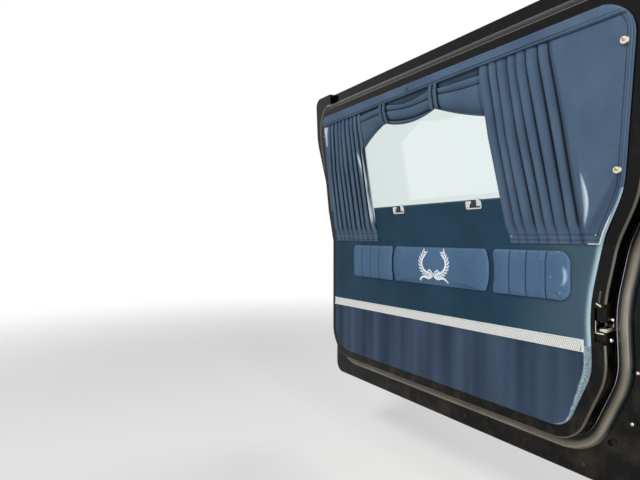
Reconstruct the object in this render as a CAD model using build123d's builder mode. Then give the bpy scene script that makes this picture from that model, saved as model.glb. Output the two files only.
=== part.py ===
from build123d import *
import math
import os

# Right rear side door of a hearse, hung open on its two hinges.
# Frame: +X runs from the hinge edge to the free edge, +Y to the outside of the car,
# +Z up. Origin: centre of the lower hinge's two pillar bolts, on the pillar's face.
# Door places below are taken from the trim's front edge (x), the plane of the lower
# trim (y, outwards) and the floor level of the trim drawing (z).

# Opening of the door
OPEN_ANGLE = 73.0

# Heights that the others follow: the belt line, and the sill and handle from it
BELT_HEIGHT = 668.0
SILL_RISE = 43.0
SILL_HEIGHT = BELT_HEIGHT + SILL_RISE
HANDLE_DROP = 93.0
HANDLE_HEIGHT = BELT_HEIGHT - HANDLE_DROP
UPPER_HINGE_DROP = 78.0
TRIM_FOLD_DROP = 90.0

# Overall size of the door: front edge, foot, top, and the rear edge at the top
HEM_FRONT = -78.0
HEM_FOOT = -30.0
HEM_TOP = 1218.0
HEM_REAR = 1438.0

# Outlines seen from inside: (x, z, corner radius)
TRIM_OUTLINE = [
    (5.0, 103.0, 95.0),
    (1085.0, 103.0, 62.0),
    (1152.0, 262.0, 150.0),
    (1144.0, 425.0, 500.0),
    (1178.0, 592.0, 200.0),
    (1236.0, 706.0, 250.0),
    (1300.0, 1109.0, 70.0),
    (50.0, 1109.0, 25.0),
    (5.0, SILL_HEIGHT, 0.0),
]
HEM_OUTLINE = [
    (HEM_FRONT, HEM_FOOT, 45.0),
    (1250.0, HEM_FOOT, 60.0),
    (1262.0, 215.0, 200.0),
    (1252.0, 400.0, 300.0),
    (1322.0, 690.0, 800.0),
    (HEM_REAR, HEM_TOP, 130.0),
    (HEM_FRONT, HEM_TOP, 34.0),
]
WINDOW_OUTLINE = [
    (50.0, BELT_HEIGHT, 22.0),
    (1152.0, BELT_HEIGHT, 22.0),
    (1243.0, 1072.0, 60.0),
    (76.0, 1072.0, 45.0),
]

# Side profile of the trim plane: (y, z), leaning inwards above the sill
TRIM_PROFILE = [
    (0.0, HEM_FOOT),
    (0.0, BELT_HEIGHT - TRIM_FOLD_DROP),
    (-85.0, 1045.0),
    (-92.0, HEM_TOP),
]
# Side profile of the outer skin: foot, mid, belly, belt and roof points (y, z)
SKIN_FOOT = (86.0, HEM_FOOT)
SKIN_MID = (112.0, 200.0)
SKIN_BELLY = (120.0, 440.0)
SKIN_BELT = (117.0, BELT_HEIGHT)
SKIN_ROOF = (6.0, HEM_TOP)

# Pressing: depths from the trim plane, and margins outside the trim's edge
PAN_DEPTH = 8.0
FLANGE_DEPTH = 62.0
PAN_MARGIN = 34.0
SKIN_THICKNESS = 4.0
HEM_FOLD = 2.0
PAN_STEP = 3.0
PAN_STEP_DEEP = 4.0
SEAL_GAP = 2.0
SEAL_WIDTH = 36.0
SEAL_HEIGHT = 22.0
SEAL_SHOULDER = 7.0
SEAL_CROWN = 8.0

# Front post of the window frame: its flange comes further in, full at this height
POST_RAISE = 22.0
POST_FULL_HEIGHT = 1000.0
POST_REAR_X = 40.0
SEAL_JOIN = 12.0

# Window glass and its rubber channel
GLASS_SET_BACK = 32.0
GLASS_THICKNESS = 5.0
GASKET_WIDTH = 10.0
GASKET_DEPTH = 18.0
GLASS_BITE = 6.0

# Bright mouldings on the skin: name, height, tall, proud, front margin, rear end
BELT_MOULDING_DROP = 27.0
MOULDINGS = [
    ("belt_moulding", BELT_HEIGHT - BELT_MOULDING_DROP, 18.0, 6.0, 4.0, 1298.0),
    ("side_moulding", 273.0, 19.0, 7.0, 4.0, 1252.0),
    ("lower_moulding", 240.0, 6.0, 3.0, 4.0, 1252.0),
]

# Trim heights
HEADER_SEAM = 1066.0
STRIP_FRONT_HEIGHT = 312.0
STRIP_REAR_HEIGHT = 327.0
STRIP_REAR_X = 1135.0
STRIP_TALL = 31.0
STRIP_PROUD = 4.0
SEAT_GAP = 0.3

# Pads: name, corners' front and rear x, their radii, and how far the ends bow outwards
PADS = [
    ("pad_front", 153.0, 411.0, 22.0, 14.0, 0.0, -7.0),
    ("pad_centre", 425.0, 837.0, 8.0, 8.0, 16.0, 16.0),
    ("pad_rear", 858.0, 1104.0, 18.0, 36.0, -9.0, 0.0),
]
PAD_BOTTOM = 430.0
PAD_TOP = 564.0
PAD_THICKNESS = 13.0
PAD_CROWN = 5.0

# Drapes and valance
DRAPE_BOTTOM = 579.0
DRAPE_THICKNESS = 12.0
DRAPE_MIDDLE = 880.0
DRAPE_FRONT = [(18.0, 314.0), (44.0, 304.0), (78.0, 300.0)]
DRAPE_REAR = [(932.0, 1139.0), (894.0, 1117.0), (891.0, 1104.0)]
VALANCE_THICKNESS = 10.0
SWAG_KNOTS = [(297.0, 943.0), (444.0, 1003.0), (694.0, 1003.0), (896.0, 940.0)]
SWAG_LOWS = [(369.0, 962.0), (558.0, 983.0), (803.0, 962.0)]
TAB_WIDTH = 13.0
TAB_PITCH = 17.0
TAB_BOTTOM = 1003.0
TAB_THICKNESS = 5.0
REAR_PANEL_THICKNESS = 6.0
REAR_PANEL_INSET = 1.0

# Sill clips: plate on the board's top edge, round knob in front, turned-up lug behind
SILL_CLIPS = [("sill_clip_front", 461.0), ("sill_clip_rear", 807.0)]
CLIP_LONG = 60.0
CLIP_TALL = 35.0
CLIP_DROP = 29.0
CLIP_BOTTOM = SILL_HEIGHT - CLIP_DROP
CLIP_THICKNESS = 2.0
CLIP_PLATE_TALL = 25.0
CLIP_ROUND = 6.0
CLIP_LUG_WIDE = 14.0
CLIP_KNOB_RADIUS = 8.0
CLIP_KNOB_TALL = 6.0
CLIP_KNOB_TAPER = 12.0

# Cup-washer buttons that hold the rear fabric panel: (x, z)
BUTTONS = [(1270.0, 1020.0), (1231.0, 751.0)]
BUTTON_RADIUS = 9.5
BUTTON_TALL = 4.0
BUTTON_TAPER = 25.0

# Drain hole and bump stops on the rear flange: (x, z)
DRAIN_HOLE = (1172.0, 88.0)
DRAIN_LONG = 30.0
DRAIN_WIDE = 15.0
DRAIN_DEEP = 8.0
DRAIN_TURN = 40.0
BUMP_STOPS = [(1233.0, 275.0), (1221.0, 150.0)]
BUMP_RADIUS = 8.0
BUMP_TALL = 7.0
BUMP_TAPER = 8.0

# Latch: pocket in the pan's rear edge, mouth for the striker, forked bolt
MOUTH_HEIGHT = 382.0
LATCH_BELOW = 41.0
LATCH_ABOVE = 42.0
LATCH_BOTTOM = MOUTH_HEIGHT - LATCH_BELOW
LATCH_TOP = MOUTH_HEIGHT + LATCH_ABOVE
LATCH_FRONT = 1156.0
LATCH_REAR = 1181.0
LATCH_DEEP = 58.0
LATCH_FACE_DEPTH = 14.0
LATCH_POCKET_LONG = 68.0
MOUTH_TALL = 20.0
MOUTH_DEEP = 40.0
MOUTH_RUN = 60.0
FORK_RADIUS = 16.0
FORK_THICKNESS = 5.0
FORK_SLOT = 14.0
FORK_SET = 8.0
FORK_BACK_GAP = 3.0
FORK_CENTRE_DEPTH = LATCH_FACE_DEPTH + FORK_RADIUS + FORK_BACK_GAP

# Outer handle: grip bar on two feet with push button and lock, below the belt
HANDLE_X = 1150.0
HANDLE_LONG = 170.0
HANDLE_TALL = 22.0
HANDLE_STAND = 40.0
HANDLE_BAR = 12.0
HANDLE_FOOT = 34.0
HANDLE_END_ROUND = 16.0
HANDLE_BOW_ROUND = 8.0
HANDLE_EDGE_ROUND = 4.0
FOOT_PAD_THICKNESS = 2.5
FOOT_PAD_BORDER = 4.0
FOOT_PAD_ROUND = 9.0
BUTTON_PUSH_RADIUS = 9.0
BUTTON_PUSH_TALL = 6.0
LOCK_RADIUS = 10.0
LOCK_DROP = 45.0
LOCK_PROUD = 4.0
LOCK_TAPER = 15.0

# Hinges: axis place by the skin's front edge, heights of the two hinges
AXIS_GAP = 17.0
AXIS_DEPTH = 100.0
HINGE_HEIGHTS = {"lower": 190.0, "upper": BELT_HEIGHT - UPPER_HINGE_DROP}
LEAF_THICKNESS = 4.0
LEAF_TALL = 84.0
LEAF_ROUND = 9.0
KNUCKLE_RADIUS = 7.5
KNUCKLE_TALL = 26.0
KNUCKLE_GAP = 0.4
PIN_RADIUS = 4.0
PIN_RUNNING_FIT = 0.05
PIN_HEAD_RADIUS = 6.5
PIN_HEAD_TALL = 3.0
PILLAR_GAP = 32.0
PILLAR_BOLT_DEPTH = 32.0
PILLAR_BOLT_SPACING = 52.0
BOLT_HOLE_RADIUS = 4.5
DOOR_LEAF_INNER = 34.0
PILLAR_LEAF_INNER = 54.0
LEAF_OUTER = 1.0
WEB_WIDE = 6.0

# Door check: the guide on the door and the pivot on the pillar lie equally far from the
# hinge axis, so the strap turns by half the door's angle
CHECK_HEIGHT = 393.0
CHECK_GUIDE_DEPTH = 24.0
CHECK_STRAP_TALL = 18.0
CHECK_STRAP_THICKNESS = 5.0
CHECK_TAIL = 12.0
CHECK_EYE_RADIUS = 7.0
CHECK_PIN_RADIUS = 3.0
CHECK_POCKET_LONG = 56.0
CHECK_POCKET_WIDE = 22.0
CHECK_POCKET_CLEAR = 3.0
CHECK_PLATE_THICKNESS = 2.5
CHECK_PLATE_TALL = 52.0
CHECK_PLATE_WIDE = 30.0
CHECK_SLOT_CLEAR = 1.5
CHECK_SLOT_TALL = CHECK_STRAP_TALL + 2 * CHECK_SLOT_CLEAR
CHECK_SLOT_WIDE = 9.0
BRACKET_LIP = 3.0
BRACKET_LIP_WIDE = 14.0
BRACKET_WIDE = 50.0
BRACKET_BOLT_SPACING = 36.0
BRACKET_HOLE_RADIUS = 3.3
BRACKET_GAP = 1.0

# Lean of the trim above the fold: depth gained per height
TRIM_LEAN = (TRIM_PROFILE[2][0] - TRIM_PROFILE[1][0]) / (TRIM_PROFILE[2][1] - TRIM_PROFILE[1][1])

# Reach of the tools that shape a layer: deeper and longer than the whole door
REACH = 400.0
LENGTH = 1700.0

# Derived places
AXIS_X = HEM_FRONT - AXIS_GAP
TURN = math.radians(OPEN_ANGLE)


def opened(x, y):
    """Place, from the hinge axis, of a pillar point given with the door shut."""
    return (
        x * math.cos(TURN) + y * math.sin(TURN),
        -x * math.sin(TURN) + y * math.cos(TURN),
    )


bolt_x, bolt_y = opened(-PILLAR_GAP, -PILLAR_BOLT_DEPTH)
HINGE_X = -bolt_x
HINGE_Y = -bolt_y
DOOR_X = HINGE_X - AXIS_X
DOOR_Y = HINGE_Y - AXIS_DEPTH
DOOR_Z = -HINGE_HEIGHTS["lower"]
DOOR_FRONT = HEM_FRONT + HEM_FOLD
GUIDE_Y = AXIS_DEPTH - CHECK_GUIDE_DEPTH

ELEVATION = Plane(origin=(DOOR_X, DOOR_Y, DOOR_Z), x_dir=(1, 0, 0), z_dir=(0, -1, 0))
BELT_PLANE = Plane(origin=(DOOR_X, DOOR_Y, DOOR_Z + BELT_HEIGHT), z_dir=(0, 0, 1))


def section(x):
    """Cross section plane of the door at x: local x outwards, local y up."""
    return Plane(origin=(DOOR_X + x, DOOR_Y, DOOR_Z), x_dir=(0, 1, 0), z_dir=(1, 0, 0))


def hinge_level(z):
    """Plan plane at height z with its origin on the hinge axis."""
    return Plane(origin=(HINGE_X, HINGE_Y, DOOR_Z + z), x_dir=(1, 0, 0), z_dir=(0, 0, 1))


def pillar_level(z):
    """Plan plane on the hinge axis, turned with the pillar as the door stands open."""
    return hinge_level(z).rotated((0, 0, -OPEN_ANGLE))


def draw_outline(table):
    """Face of an outline given as corner rows of x, z and radius."""
    with BuildLine() as corners:
        FilletPolyline(
            *[(x, z) for x, z, radius in table],
            radius=[radius for x, z, radius in table],
            close=True,
        )
    make_face(corners.edges())


def shape_to(table, grow=0.0, mode=Mode.INTERSECT):
    """Cut the current part to an outline, moved out by grow."""
    with BuildSketch(ELEVATION) as outline:
        draw_outline(table)
        if grow:
            offset(amount=grow, kind=Kind.ARC)
    extrude(outline.sketch, amount=REACH, both=True, mode=mode)


def shape_between(x_low, x_high, z_low, z_high, mode=Mode.INTERSECT):
    """Keep what lies in a rectangle of the elevation."""
    with BuildSketch(ELEVATION) as window:
        with Locations(((x_low + x_high) / 2, (z_low + z_high) / 2)):
            Rectangle(x_high - x_low, z_high - z_low)
    extrude(window.sketch, amount=REACH, both=True, mode=mode)


def trim_side(shift):
    """The trim plane's profile, moved outwards by shift."""
    return [(y + shift, z) for y, z in TRIM_PROFILE]


def trim_layer(near, far):
    """Solid layer between two depths from the trim plane, along the whole door."""
    with BuildSketch(section(-REACH)) as profile:
        with BuildLine():
            Polyline(*trim_side(near), *reversed(trim_side(far)), close=True)
        make_face()
    extrude(profile.sketch, amount=LENGTH + REACH)


def post_layer(near, far):
    """Solid layer that comes in by the post's raise above the belt, down to depth far."""
    belt_y = (BELT_HEIGHT - TRIM_PROFILE[1][1]) * TRIM_LEAN
    full_y = (POST_FULL_HEIGHT - TRIM_PROFILE[1][1]) * TRIM_LEAN
    with BuildSketch(section(-REACH)) as profile:
        with BuildLine():
            Polyline(
                (belt_y + near, BELT_HEIGHT),
                (full_y + near - POST_RAISE, POST_FULL_HEIGHT),
                *[(y + near - POST_RAISE, z) for y, z in TRIM_PROFILE[2:]],
                *reversed(trim_side(far)[2:]),
                (belt_y + far, BELT_HEIGHT),
                close=True,
            )
        make_face()
    extrude(profile.sketch, amount=LENGTH + REACH)


def skin_points(shift):
    """The skin's profile points, moved outwards by shift."""
    rows = (SKIN_FOOT, SKIN_MID, SKIN_BELLY, SKIN_BELT, SKIN_ROOF)
    return [(y + shift, z) for y, z in rows]


def skin_side(shift):
    """The skin's profile lines in the current drawing, moved outwards by shift."""
    foot, mid, belly, belt, roof = skin_points(shift)
    ThreePointArc(foot, mid, belly)
    Line(belly, belt)
    Line(belt, roof)


def skin_layer(near, far):
    """Solid layer between two depths from the skin's outer face, along the whole door."""
    with BuildSketch(section(-REACH)) as profile:
        with BuildLine():
            skin_side(near)
            Line(skin_points(near)[-1], skin_points(far)[-1])
            skin_side(far)
            Line(skin_points(far)[0], skin_points(near)[0])
        make_face()
    extrude(profile.sketch, amount=LENGTH + REACH)


def trim_to_skin(near, far):
    """Solid between a depth from the trim plane and a depth from the skin's outer face."""
    with BuildSketch(section(-REACH)) as profile:
        with BuildLine():
            Polyline(*trim_side(near))
            Line(trim_side(near)[-1], skin_points(far)[-1])
            skin_side(far)
            Line(skin_points(far)[0], trim_side(near)[0])
        make_face()
    extrude(profile.sketch, amount=LENGTH + REACH)


def glass_layer(half):
    """Flat layer about the window glass, half as thick on each side of its middle."""
    (belt_y, belt_z), (roof_y, roof_z) = SKIN_BELT, SKIN_ROOF
    with BuildSketch(section(-REACH)) as profile:
        with BuildLine():
            Polyline(
                (belt_y - GLASS_SET_BACK - half, belt_z),
                (belt_y - GLASS_SET_BACK + half, belt_z),
                (roof_y - GLASS_SET_BACK + half, roof_z),
                (roof_y - GLASS_SET_BACK - half, roof_z),
                close=True,
            )
        make_face()
    extrude(profile.sketch, amount=LENGTH + REACH)


def lean_face(x, z, stand):
    """Plane that faces inwards on the leaning trim at x and z, stand clear of its plane."""
    (foot_y, foot_z), (head_y, head_z) = TRIM_PROFILE[1:3]
    lean = math.atan2(foot_y - head_y, head_z - foot_z)
    place = (DOOR_X + x, DOOR_Y - (z - foot_z) * math.tan(lean), DOOR_Z + z)
    face = Plane(
        origin=place, x_dir=(1, 0, 0), z_dir=(0, -math.cos(lean), -math.sin(lean))
    )
    return face.offset(stand * math.cos(lean))


def finish(part, label):
    """Label a finished piece and write its file."""
    part.label = label
    export_step(part, f"parts/{label}.step")


os.makedirs("parts", exist_ok=True)

# Pressed shell: the pan inside the seal, and the flange round it out to the hem
with BuildPart() as pan:
    trim_layer(PAN_DEPTH, FLANGE_DEPTH)
    shape_to(TRIM_OUTLINE, PAN_MARGIN - PAN_STEP)
with BuildPart() as pan_step:
    trim_layer(PAN_DEPTH + PAN_STEP_DEEP, FLANGE_DEPTH)
    shape_to(TRIM_OUTLINE, PAN_MARGIN)
with BuildPart() as lower_flange:
    trim_to_skin(FLANGE_DEPTH, -SKIN_THICKNESS)
    shape_to(HEM_OUTLINE, -HEM_FOLD)
with BuildPart() as upper_flange:
    trim_to_skin(FLANGE_DEPTH, 0.0)
    shape_to(HEM_OUTLINE)

# Lower half of the shell, with the latch pocket, the check's pocket and the drain hole
with BuildPart() as inner_shell:
    add(pan.part)
    add(pan_step.part)
    add(lower_flange.part)
    split(bisect_by=BELT_PLANE, keep=Keep.BOTTOM)
    with BuildSketch(section(LATCH_FRONT)):
        with Locations((LATCH_DEEP / 2, (LATCH_BOTTOM + LATCH_TOP) / 2)):
            Rectangle(LATCH_DEEP, LATCH_TOP - LATCH_BOTTOM)
    extrude(amount=LATCH_POCKET_LONG, mode=Mode.SUBTRACT)
    with BuildSketch(section(DOOR_FRONT)):
        with Locations((GUIDE_Y, CHECK_HEIGHT)):
            Rectangle(CHECK_POCKET_WIDE, CHECK_SLOT_TALL + 2 * CHECK_POCKET_CLEAR)
    extrude(amount=CHECK_POCKET_LONG, mode=Mode.SUBTRACT)
    with BuildSketch(Plane(
        origin=(DOOR_X, DOOR_Y + FLANGE_DEPTH, DOOR_Z), x_dir=(1, 0, 0), z_dir=(0, -1, 0)
    )):
        with Locations(DRAIN_HOLE):
            SlotOverall(DRAIN_LONG, DRAIN_WIDE, rotation=DRAIN_TURN)
    extrude(amount=-DRAIN_DEEP, mode=Mode.SUBTRACT)
finish(inner_shell.part, "inner_shell")

with BuildPart() as front_post:
    post_layer(FLANGE_DEPTH, FLANGE_DEPTH + PAN_STEP)
    shape_to(HEM_OUTLINE)
    shape_between(-REACH, POST_REAR_X, BELT_HEIGHT, HEM_TOP)

with BuildPart() as window_frame:
    add(pan.part)
    add(pan_step.part)
    add(upper_flange.part)
    add(front_post.part)
    split(bisect_by=BELT_PLANE, keep=Keep.TOP)
    shape_to(WINDOW_OUTLINE, mode=Mode.SUBTRACT)
    shape_between(
        WINDOW_OUTLINE[0][0],
        WINDOW_OUTLINE[1][0],
        BELT_HEIGHT - SEAT_GAP,
        BELT_HEIGHT + WINDOW_OUTLINE[0][2],
        mode=Mode.SUBTRACT,
    )
finish(window_frame.part, "window_frame")

with BuildPart() as outer_skin:
    skin_layer(-SKIN_THICKNESS, 0.0)
    shape_to(HEM_OUTLINE)
    split(bisect_by=BELT_PLANE, keep=Keep.BOTTOM)
finish(outer_skin.part, "outer_skin")

with BuildPart() as window_glass:
    glass_layer(GLASS_THICKNESS / 2)
    shape_to(WINDOW_OUTLINE, GLASS_BITE - GASKET_WIDTH)
finish(window_glass.part, "window_glass")

with BuildPart() as glass_gasket:
    glass_layer(GASKET_DEPTH / 2)
    shape_to(WINDOW_OUTLINE)
    shape_to(WINDOW_OUTLINE, -GASKET_WIDTH, mode=Mode.SUBTRACT)
    add(window_glass.part, mode=Mode.SUBTRACT)
finish(glass_gasket.part, "glass_gasket")

SEAL_INSIDE = PAN_MARGIN + SEAL_GAP
SEAL_OUTSIDE = SEAL_INSIDE + SEAL_WIDTH
with BuildPart() as seal_crown:
    trim_layer(FLANGE_DEPTH - SEAL_HEIGHT, FLANGE_DEPTH)
    shape_to(TRIM_OUTLINE, SEAL_OUTSIDE - SEAL_SHOULDER)
    shape_to(TRIM_OUTLINE, SEAL_INSIDE + SEAL_SHOULDER, mode=Mode.SUBTRACT)
with BuildPart() as post_seal_crown:
    post_layer(FLANGE_DEPTH - SEAL_HEIGHT, FLANGE_DEPTH)
    shape_to(TRIM_OUTLINE, SEAL_OUTSIDE - SEAL_SHOULDER)
    shape_to(TRIM_OUTLINE, SEAL_INSIDE + SEAL_SHOULDER, mode=Mode.SUBTRACT)
with BuildPart() as post_seal:
    post_layer(FLANGE_DEPTH - SEAL_HEIGHT + SEAL_CROWN, FLANGE_DEPTH)
    shape_to(TRIM_OUTLINE, SEAL_OUTSIDE)
    shape_to(TRIM_OUTLINE, SEAL_INSIDE, mode=Mode.SUBTRACT)
    add(post_seal_crown.part)
    shape_between(-REACH, POST_REAR_X + SEAL_JOIN, BELT_HEIGHT, HEM_TOP)
with BuildPart() as door_seal:
    trim_layer(FLANGE_DEPTH - SEAL_HEIGHT + SEAL_CROWN, FLANGE_DEPTH)
    shape_to(TRIM_OUTLINE, SEAL_OUTSIDE)
    shape_to(TRIM_OUTLINE, SEAL_INSIDE, mode=Mode.SUBTRACT)
    add(seal_crown.part)
    add(post_seal.part)
    add(front_post.part, mode=Mode.SUBTRACT)
finish(door_seal.part, "door_seal")

# Bright mouldings on the skin
for name, height, tall, proud, front_margin, rear_end in MOULDINGS:
    with BuildPart() as moulding:
        skin_layer(0.0, proud)
        shape_between(
            HEM_FRONT + front_margin, rear_end, height - tall / 2, height + tall / 2
        )
    finish(moulding.part, name)

# Inner trim: the upper board, the window surround, the carpet panel and the bright strip
STRIP_SLOPE = (STRIP_REAR_HEIGHT - STRIP_FRONT_HEIGHT) / (STRIP_REAR_X - TRIM_OUTLINE[0][0])


def strip_line(x):
    """Height of the strip's centre line at x."""
    return STRIP_FRONT_HEIGHT + STRIP_SLOPE * (x - TRIM_OUTLINE[0][0])


def keep_beside_strip(sign, mode=Mode.INTERSECT):
    """Keep what lies above (sign 1) or below (sign -1) the strip's centre line."""
    with BuildSketch(ELEVATION) as side:
        with BuildLine():
            Polyline(
                (-REACH, strip_line(-REACH)),
                (LENGTH, strip_line(LENGTH)),
                (LENGTH, strip_line(LENGTH) + sign * LENGTH),
                (-REACH, strip_line(-REACH) + sign * LENGTH),
                close=True,
            )
        make_face()
    extrude(side.sketch, amount=REACH, both=True, mode=mode)


with BuildPart() as upper_board:
    trim_layer(0.0, PAN_DEPTH)
    shape_to(TRIM_OUTLINE)
    keep_beside_strip(1)
    shape_between(-REACH, LENGTH, 0.0, SILL_HEIGHT)
finish(upper_board.part, "upper_board")

with BuildPart() as window_surround:
    trim_layer(0.0, PAN_DEPTH)
    shape_to(TRIM_OUTLINE)
    shape_between(-REACH, LENGTH, SILL_HEIGHT, HEM_TOP)
    shape_to(WINDOW_OUTLINE, mode=Mode.SUBTRACT)
finish(window_surround.part, "window_surround")

with BuildPart() as carpet_panel:
    trim_layer(0.0, PAN_DEPTH)
    shape_to(TRIM_OUTLINE)
    keep_beside_strip(-1)
finish(carpet_panel.part, "carpet_panel")

with BuildPart() as trim_strip:
    with BuildSketch(ELEVATION) as side:
        with BuildLine():
            front = TRIM_OUTLINE[0][0]
            half = STRIP_TALL / 2
            Polyline(
                (front, strip_line(front) - half),
                (STRIP_REAR_X, strip_line(STRIP_REAR_X) - half),
                (STRIP_REAR_X, strip_line(STRIP_REAR_X) + half),
                (front, strip_line(front) + half),
                close=True,
            )
        make_face()
    extrude(amount=STRIP_PROUD)
finish(trim_strip.part, "trim_strip")

# Pads on the upper board
PAD_MIDDLE = (PAD_BOTTOM + PAD_TOP) / 2
for name, front, rear, front_radius, rear_radius, front_bow, rear_bow in PADS:
    with BuildPart() as pad:
        with BuildSketch(ELEVATION.offset(SEAT_GAP)) as cover:
            with BuildLine():
                Line((front, PAD_BOTTOM), (rear, PAD_BOTTOM))
                if rear_bow:
                    ThreePointArc(
                        (rear, PAD_BOTTOM), (rear + rear_bow, PAD_MIDDLE), (rear, PAD_TOP)
                    )
                else:
                    Line((rear, PAD_BOTTOM), (rear, PAD_TOP))
                Line((rear, PAD_TOP), (front, PAD_TOP))
                if front_bow:
                    ThreePointArc(
                        (front, PAD_TOP), (front - front_bow, PAD_MIDDLE), (front, PAD_BOTTOM)
                    )
                else:
                    Line((front, PAD_TOP), (front, PAD_BOTTOM))
            make_face()
            corners = cover.vertices().sort_by(Axis.X)
            fillet(corners[:2], radius=front_radius)
            fillet(cover.vertices().sort_by(Axis.X)[-2:], radius=rear_radius)
        extrude(amount=PAD_THICKNESS)
        fillet(pad.faces().sort_by(Axis.Y)[0].edges(), radius=PAD_CROWN)
    finish(pad.part, name)

# Fabric: header band, drapes with their hems, valance with its tabs, rear panel
with BuildPart() as drape_header:
    trim_layer(-DRAPE_THICKNESS, -SEAT_GAP)
    shape_to(TRIM_OUTLINE)
    shape_between(-REACH, LENGTH, HEADER_SEAM, HEM_TOP)
finish(drape_header.part, "drape_header")



def draw_drape(widths, top, grow=0.0):
    """Face of a drape from its widths at the hem, the middle and the seam, grown sideways."""
    heights = (DRAPE_BOTTOM, DRAPE_MIDDLE, top)
    with BuildLine() as sides:
        Polyline(
            *[(front - grow, z) for (front, rear), z in zip(widths, heights)],
            *reversed([(rear + grow, z) for (front, rear), z in zip(widths, heights)]),
            close=True,
        )
    make_face(sides.edges())


for name, widths in (("drape_front", DRAPE_FRONT), ("drape_rear", DRAPE_REAR)):
    with BuildPart() as drape:
        trim_layer(-DRAPE_THICKNESS, -SEAT_GAP)
        with BuildSketch(ELEVATION) as side:
            draw_drape(widths, HEADER_SEAM - SEAT_GAP)
        extrude(side.sketch, amount=REACH, both=True, mode=Mode.INTERSECT)
    finish(drape.part, name)

with BuildPart() as valance:
    trim_layer(-VALANCE_THICKNESS, -SEAT_GAP)
    with BuildSketch(ELEVATION) as side:
        with BuildLine():
            first, second, third, fourth = SWAG_KNOTS
            ThreePointArc(first, SWAG_LOWS[0], second)
            ThreePointArc(second, SWAG_LOWS[1], third)
            ThreePointArc(third, SWAG_LOWS[2], fourth)
            top = HEADER_SEAM - SEAT_GAP
            Polyline(fourth, (fourth[0], top), (first[0], top), first)
        make_face()
    extrude(amount=REACH, both=True, mode=Mode.INTERSECT)
    for widths in (DRAPE_FRONT, DRAPE_REAR):
        with BuildSketch(ELEVATION) as side:
            draw_drape(widths, HEADER_SEAM, SEAT_GAP)
        extrude(side.sketch, amount=REACH, both=True, mode=Mode.SUBTRACT)
finish(valance.part, "valance")

with BuildPart() as valance_tabs:
    trim_layer(-VALANCE_THICKNESS - SEAT_GAP - TAB_THICKNESS, -VALANCE_THICKNESS - SEAT_GAP)
    with BuildSketch(ELEVATION) as side:
        for x, z in SWAG_KNOTS[1:3]:
            with Locations((x, (TAB_BOTTOM + HEADER_SEAM) / 2)):
                with GridLocations(TAB_PITCH, 0, 2, 1):
                    Rectangle(TAB_WIDTH, HEADER_SEAM - TAB_BOTTOM - 2 * SEAT_GAP)
    extrude(amount=REACH, both=True, mode=Mode.INTERSECT)
finish(valance_tabs.part, "valance_tabs")

with BuildPart() as rear_fabric_panel:
    trim_layer(-REAR_PANEL_THICKNESS, -SEAT_GAP)
    shape_to(TRIM_OUTLINE, -REAR_PANEL_INSET)
    with BuildSketch(ELEVATION) as side:
        with BuildLine():
            low_rear, middle_rear, top_rear = [rear + SEAT_GAP for front, rear in DRAPE_REAR]
            Polyline(
                (low_rear, DRAPE_BOTTOM),
                (LENGTH, DRAPE_BOTTOM),
                (LENGTH, HEADER_SEAM - SEAT_GAP),
                (top_rear, HEADER_SEAM - SEAT_GAP),
                (middle_rear, DRAPE_MIDDLE),
                close=True,
            )
        make_face()
    extrude(amount=REACH, both=True, mode=Mode.INTERSECT)
finish(rear_fabric_panel.part, "rear_fabric_panel")

# Sill clips
for name, clip_x in SILL_CLIPS:
    with BuildPart() as clip:
        with BuildSketch(lean_face(clip_x, CLIP_BOTTOM, 0.0)):
            with Locations((0, CLIP_PLATE_TALL / 2)):
                RectangleRounded(CLIP_LONG, CLIP_PLATE_TALL, CLIP_ROUND)
            with Locations(((CLIP_LONG - CLIP_LUG_WIDE) / 2 - CLIP_ROUND, CLIP_TALL / 2)):
                Rectangle(CLIP_LUG_WIDE, CLIP_TALL)
        extrude(amount=CLIP_THICKNESS)
        with BuildSketch(lean_face(clip_x, CLIP_BOTTOM, CLIP_THICKNESS)):
            with Locations((-CLIP_LONG / 4, CLIP_PLATE_TALL / 2)):
                Circle(CLIP_KNOB_RADIUS)
        extrude(amount=CLIP_KNOB_TALL, taper=CLIP_KNOB_TAPER)
    finish(clip.part, name)

# Buttons of the rear fabric panel
with BuildPart() as panel_buttons:
    for button_x, button_z in BUTTONS:
        with BuildSketch(lean_face(button_x, button_z, REAR_PANEL_THICKNESS + SEAT_GAP)):
            Circle(BUTTON_RADIUS)
        extrude(amount=BUTTON_TALL, taper=BUTTON_TAPER)
finish(panel_buttons.part, "panel_buttons")

# Bump stops on the rear flange
with BuildPart() as bump_stops:
    with BuildSketch(ELEVATION.offset(-FLANGE_DEPTH)):
        with Locations(*BUMP_STOPS):
            Circle(BUMP_RADIUS)
    extrude(amount=BUMP_TALL, taper=BUMP_TAPER)
finish(bump_stops.part, "bump_stops")

# Latch: zinc housing with its mouth, and the forked bolt inside
with BuildPart() as latch_housing:
    with BuildSketch(section(LATCH_FRONT + SEAT_GAP)):
        with Locations((
            (LATCH_FACE_DEPTH + LATCH_DEEP) / 2, (LATCH_BOTTOM + LATCH_TOP) / 2
        )):
            Rectangle(
                LATCH_DEEP - LATCH_FACE_DEPTH - SEAT_GAP, LATCH_TOP - LATCH_BOTTOM - 2 * SEAT_GAP
            )
    extrude(amount=LATCH_REAR - LATCH_FRONT)
    with BuildSketch(section(LATCH_FRONT)):
        with Locations((MOUTH_DEEP - MOUTH_RUN / 2, MOUTH_HEIGHT)):
            SlotOverall(MOUTH_RUN, MOUTH_TALL)
    extrude(amount=LATCH_POCKET_LONG, mode=Mode.SUBTRACT)
    with BuildSketch(section(LATCH_FRONT + FORK_SET)):
        with Locations((FORK_CENTRE_DEPTH, MOUTH_HEIGHT)):
            Circle(FORK_RADIUS + SEAT_GAP)
    extrude(amount=FORK_THICKNESS, mode=Mode.SUBTRACT)
finish(latch_housing.part, "latch_housing")

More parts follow.
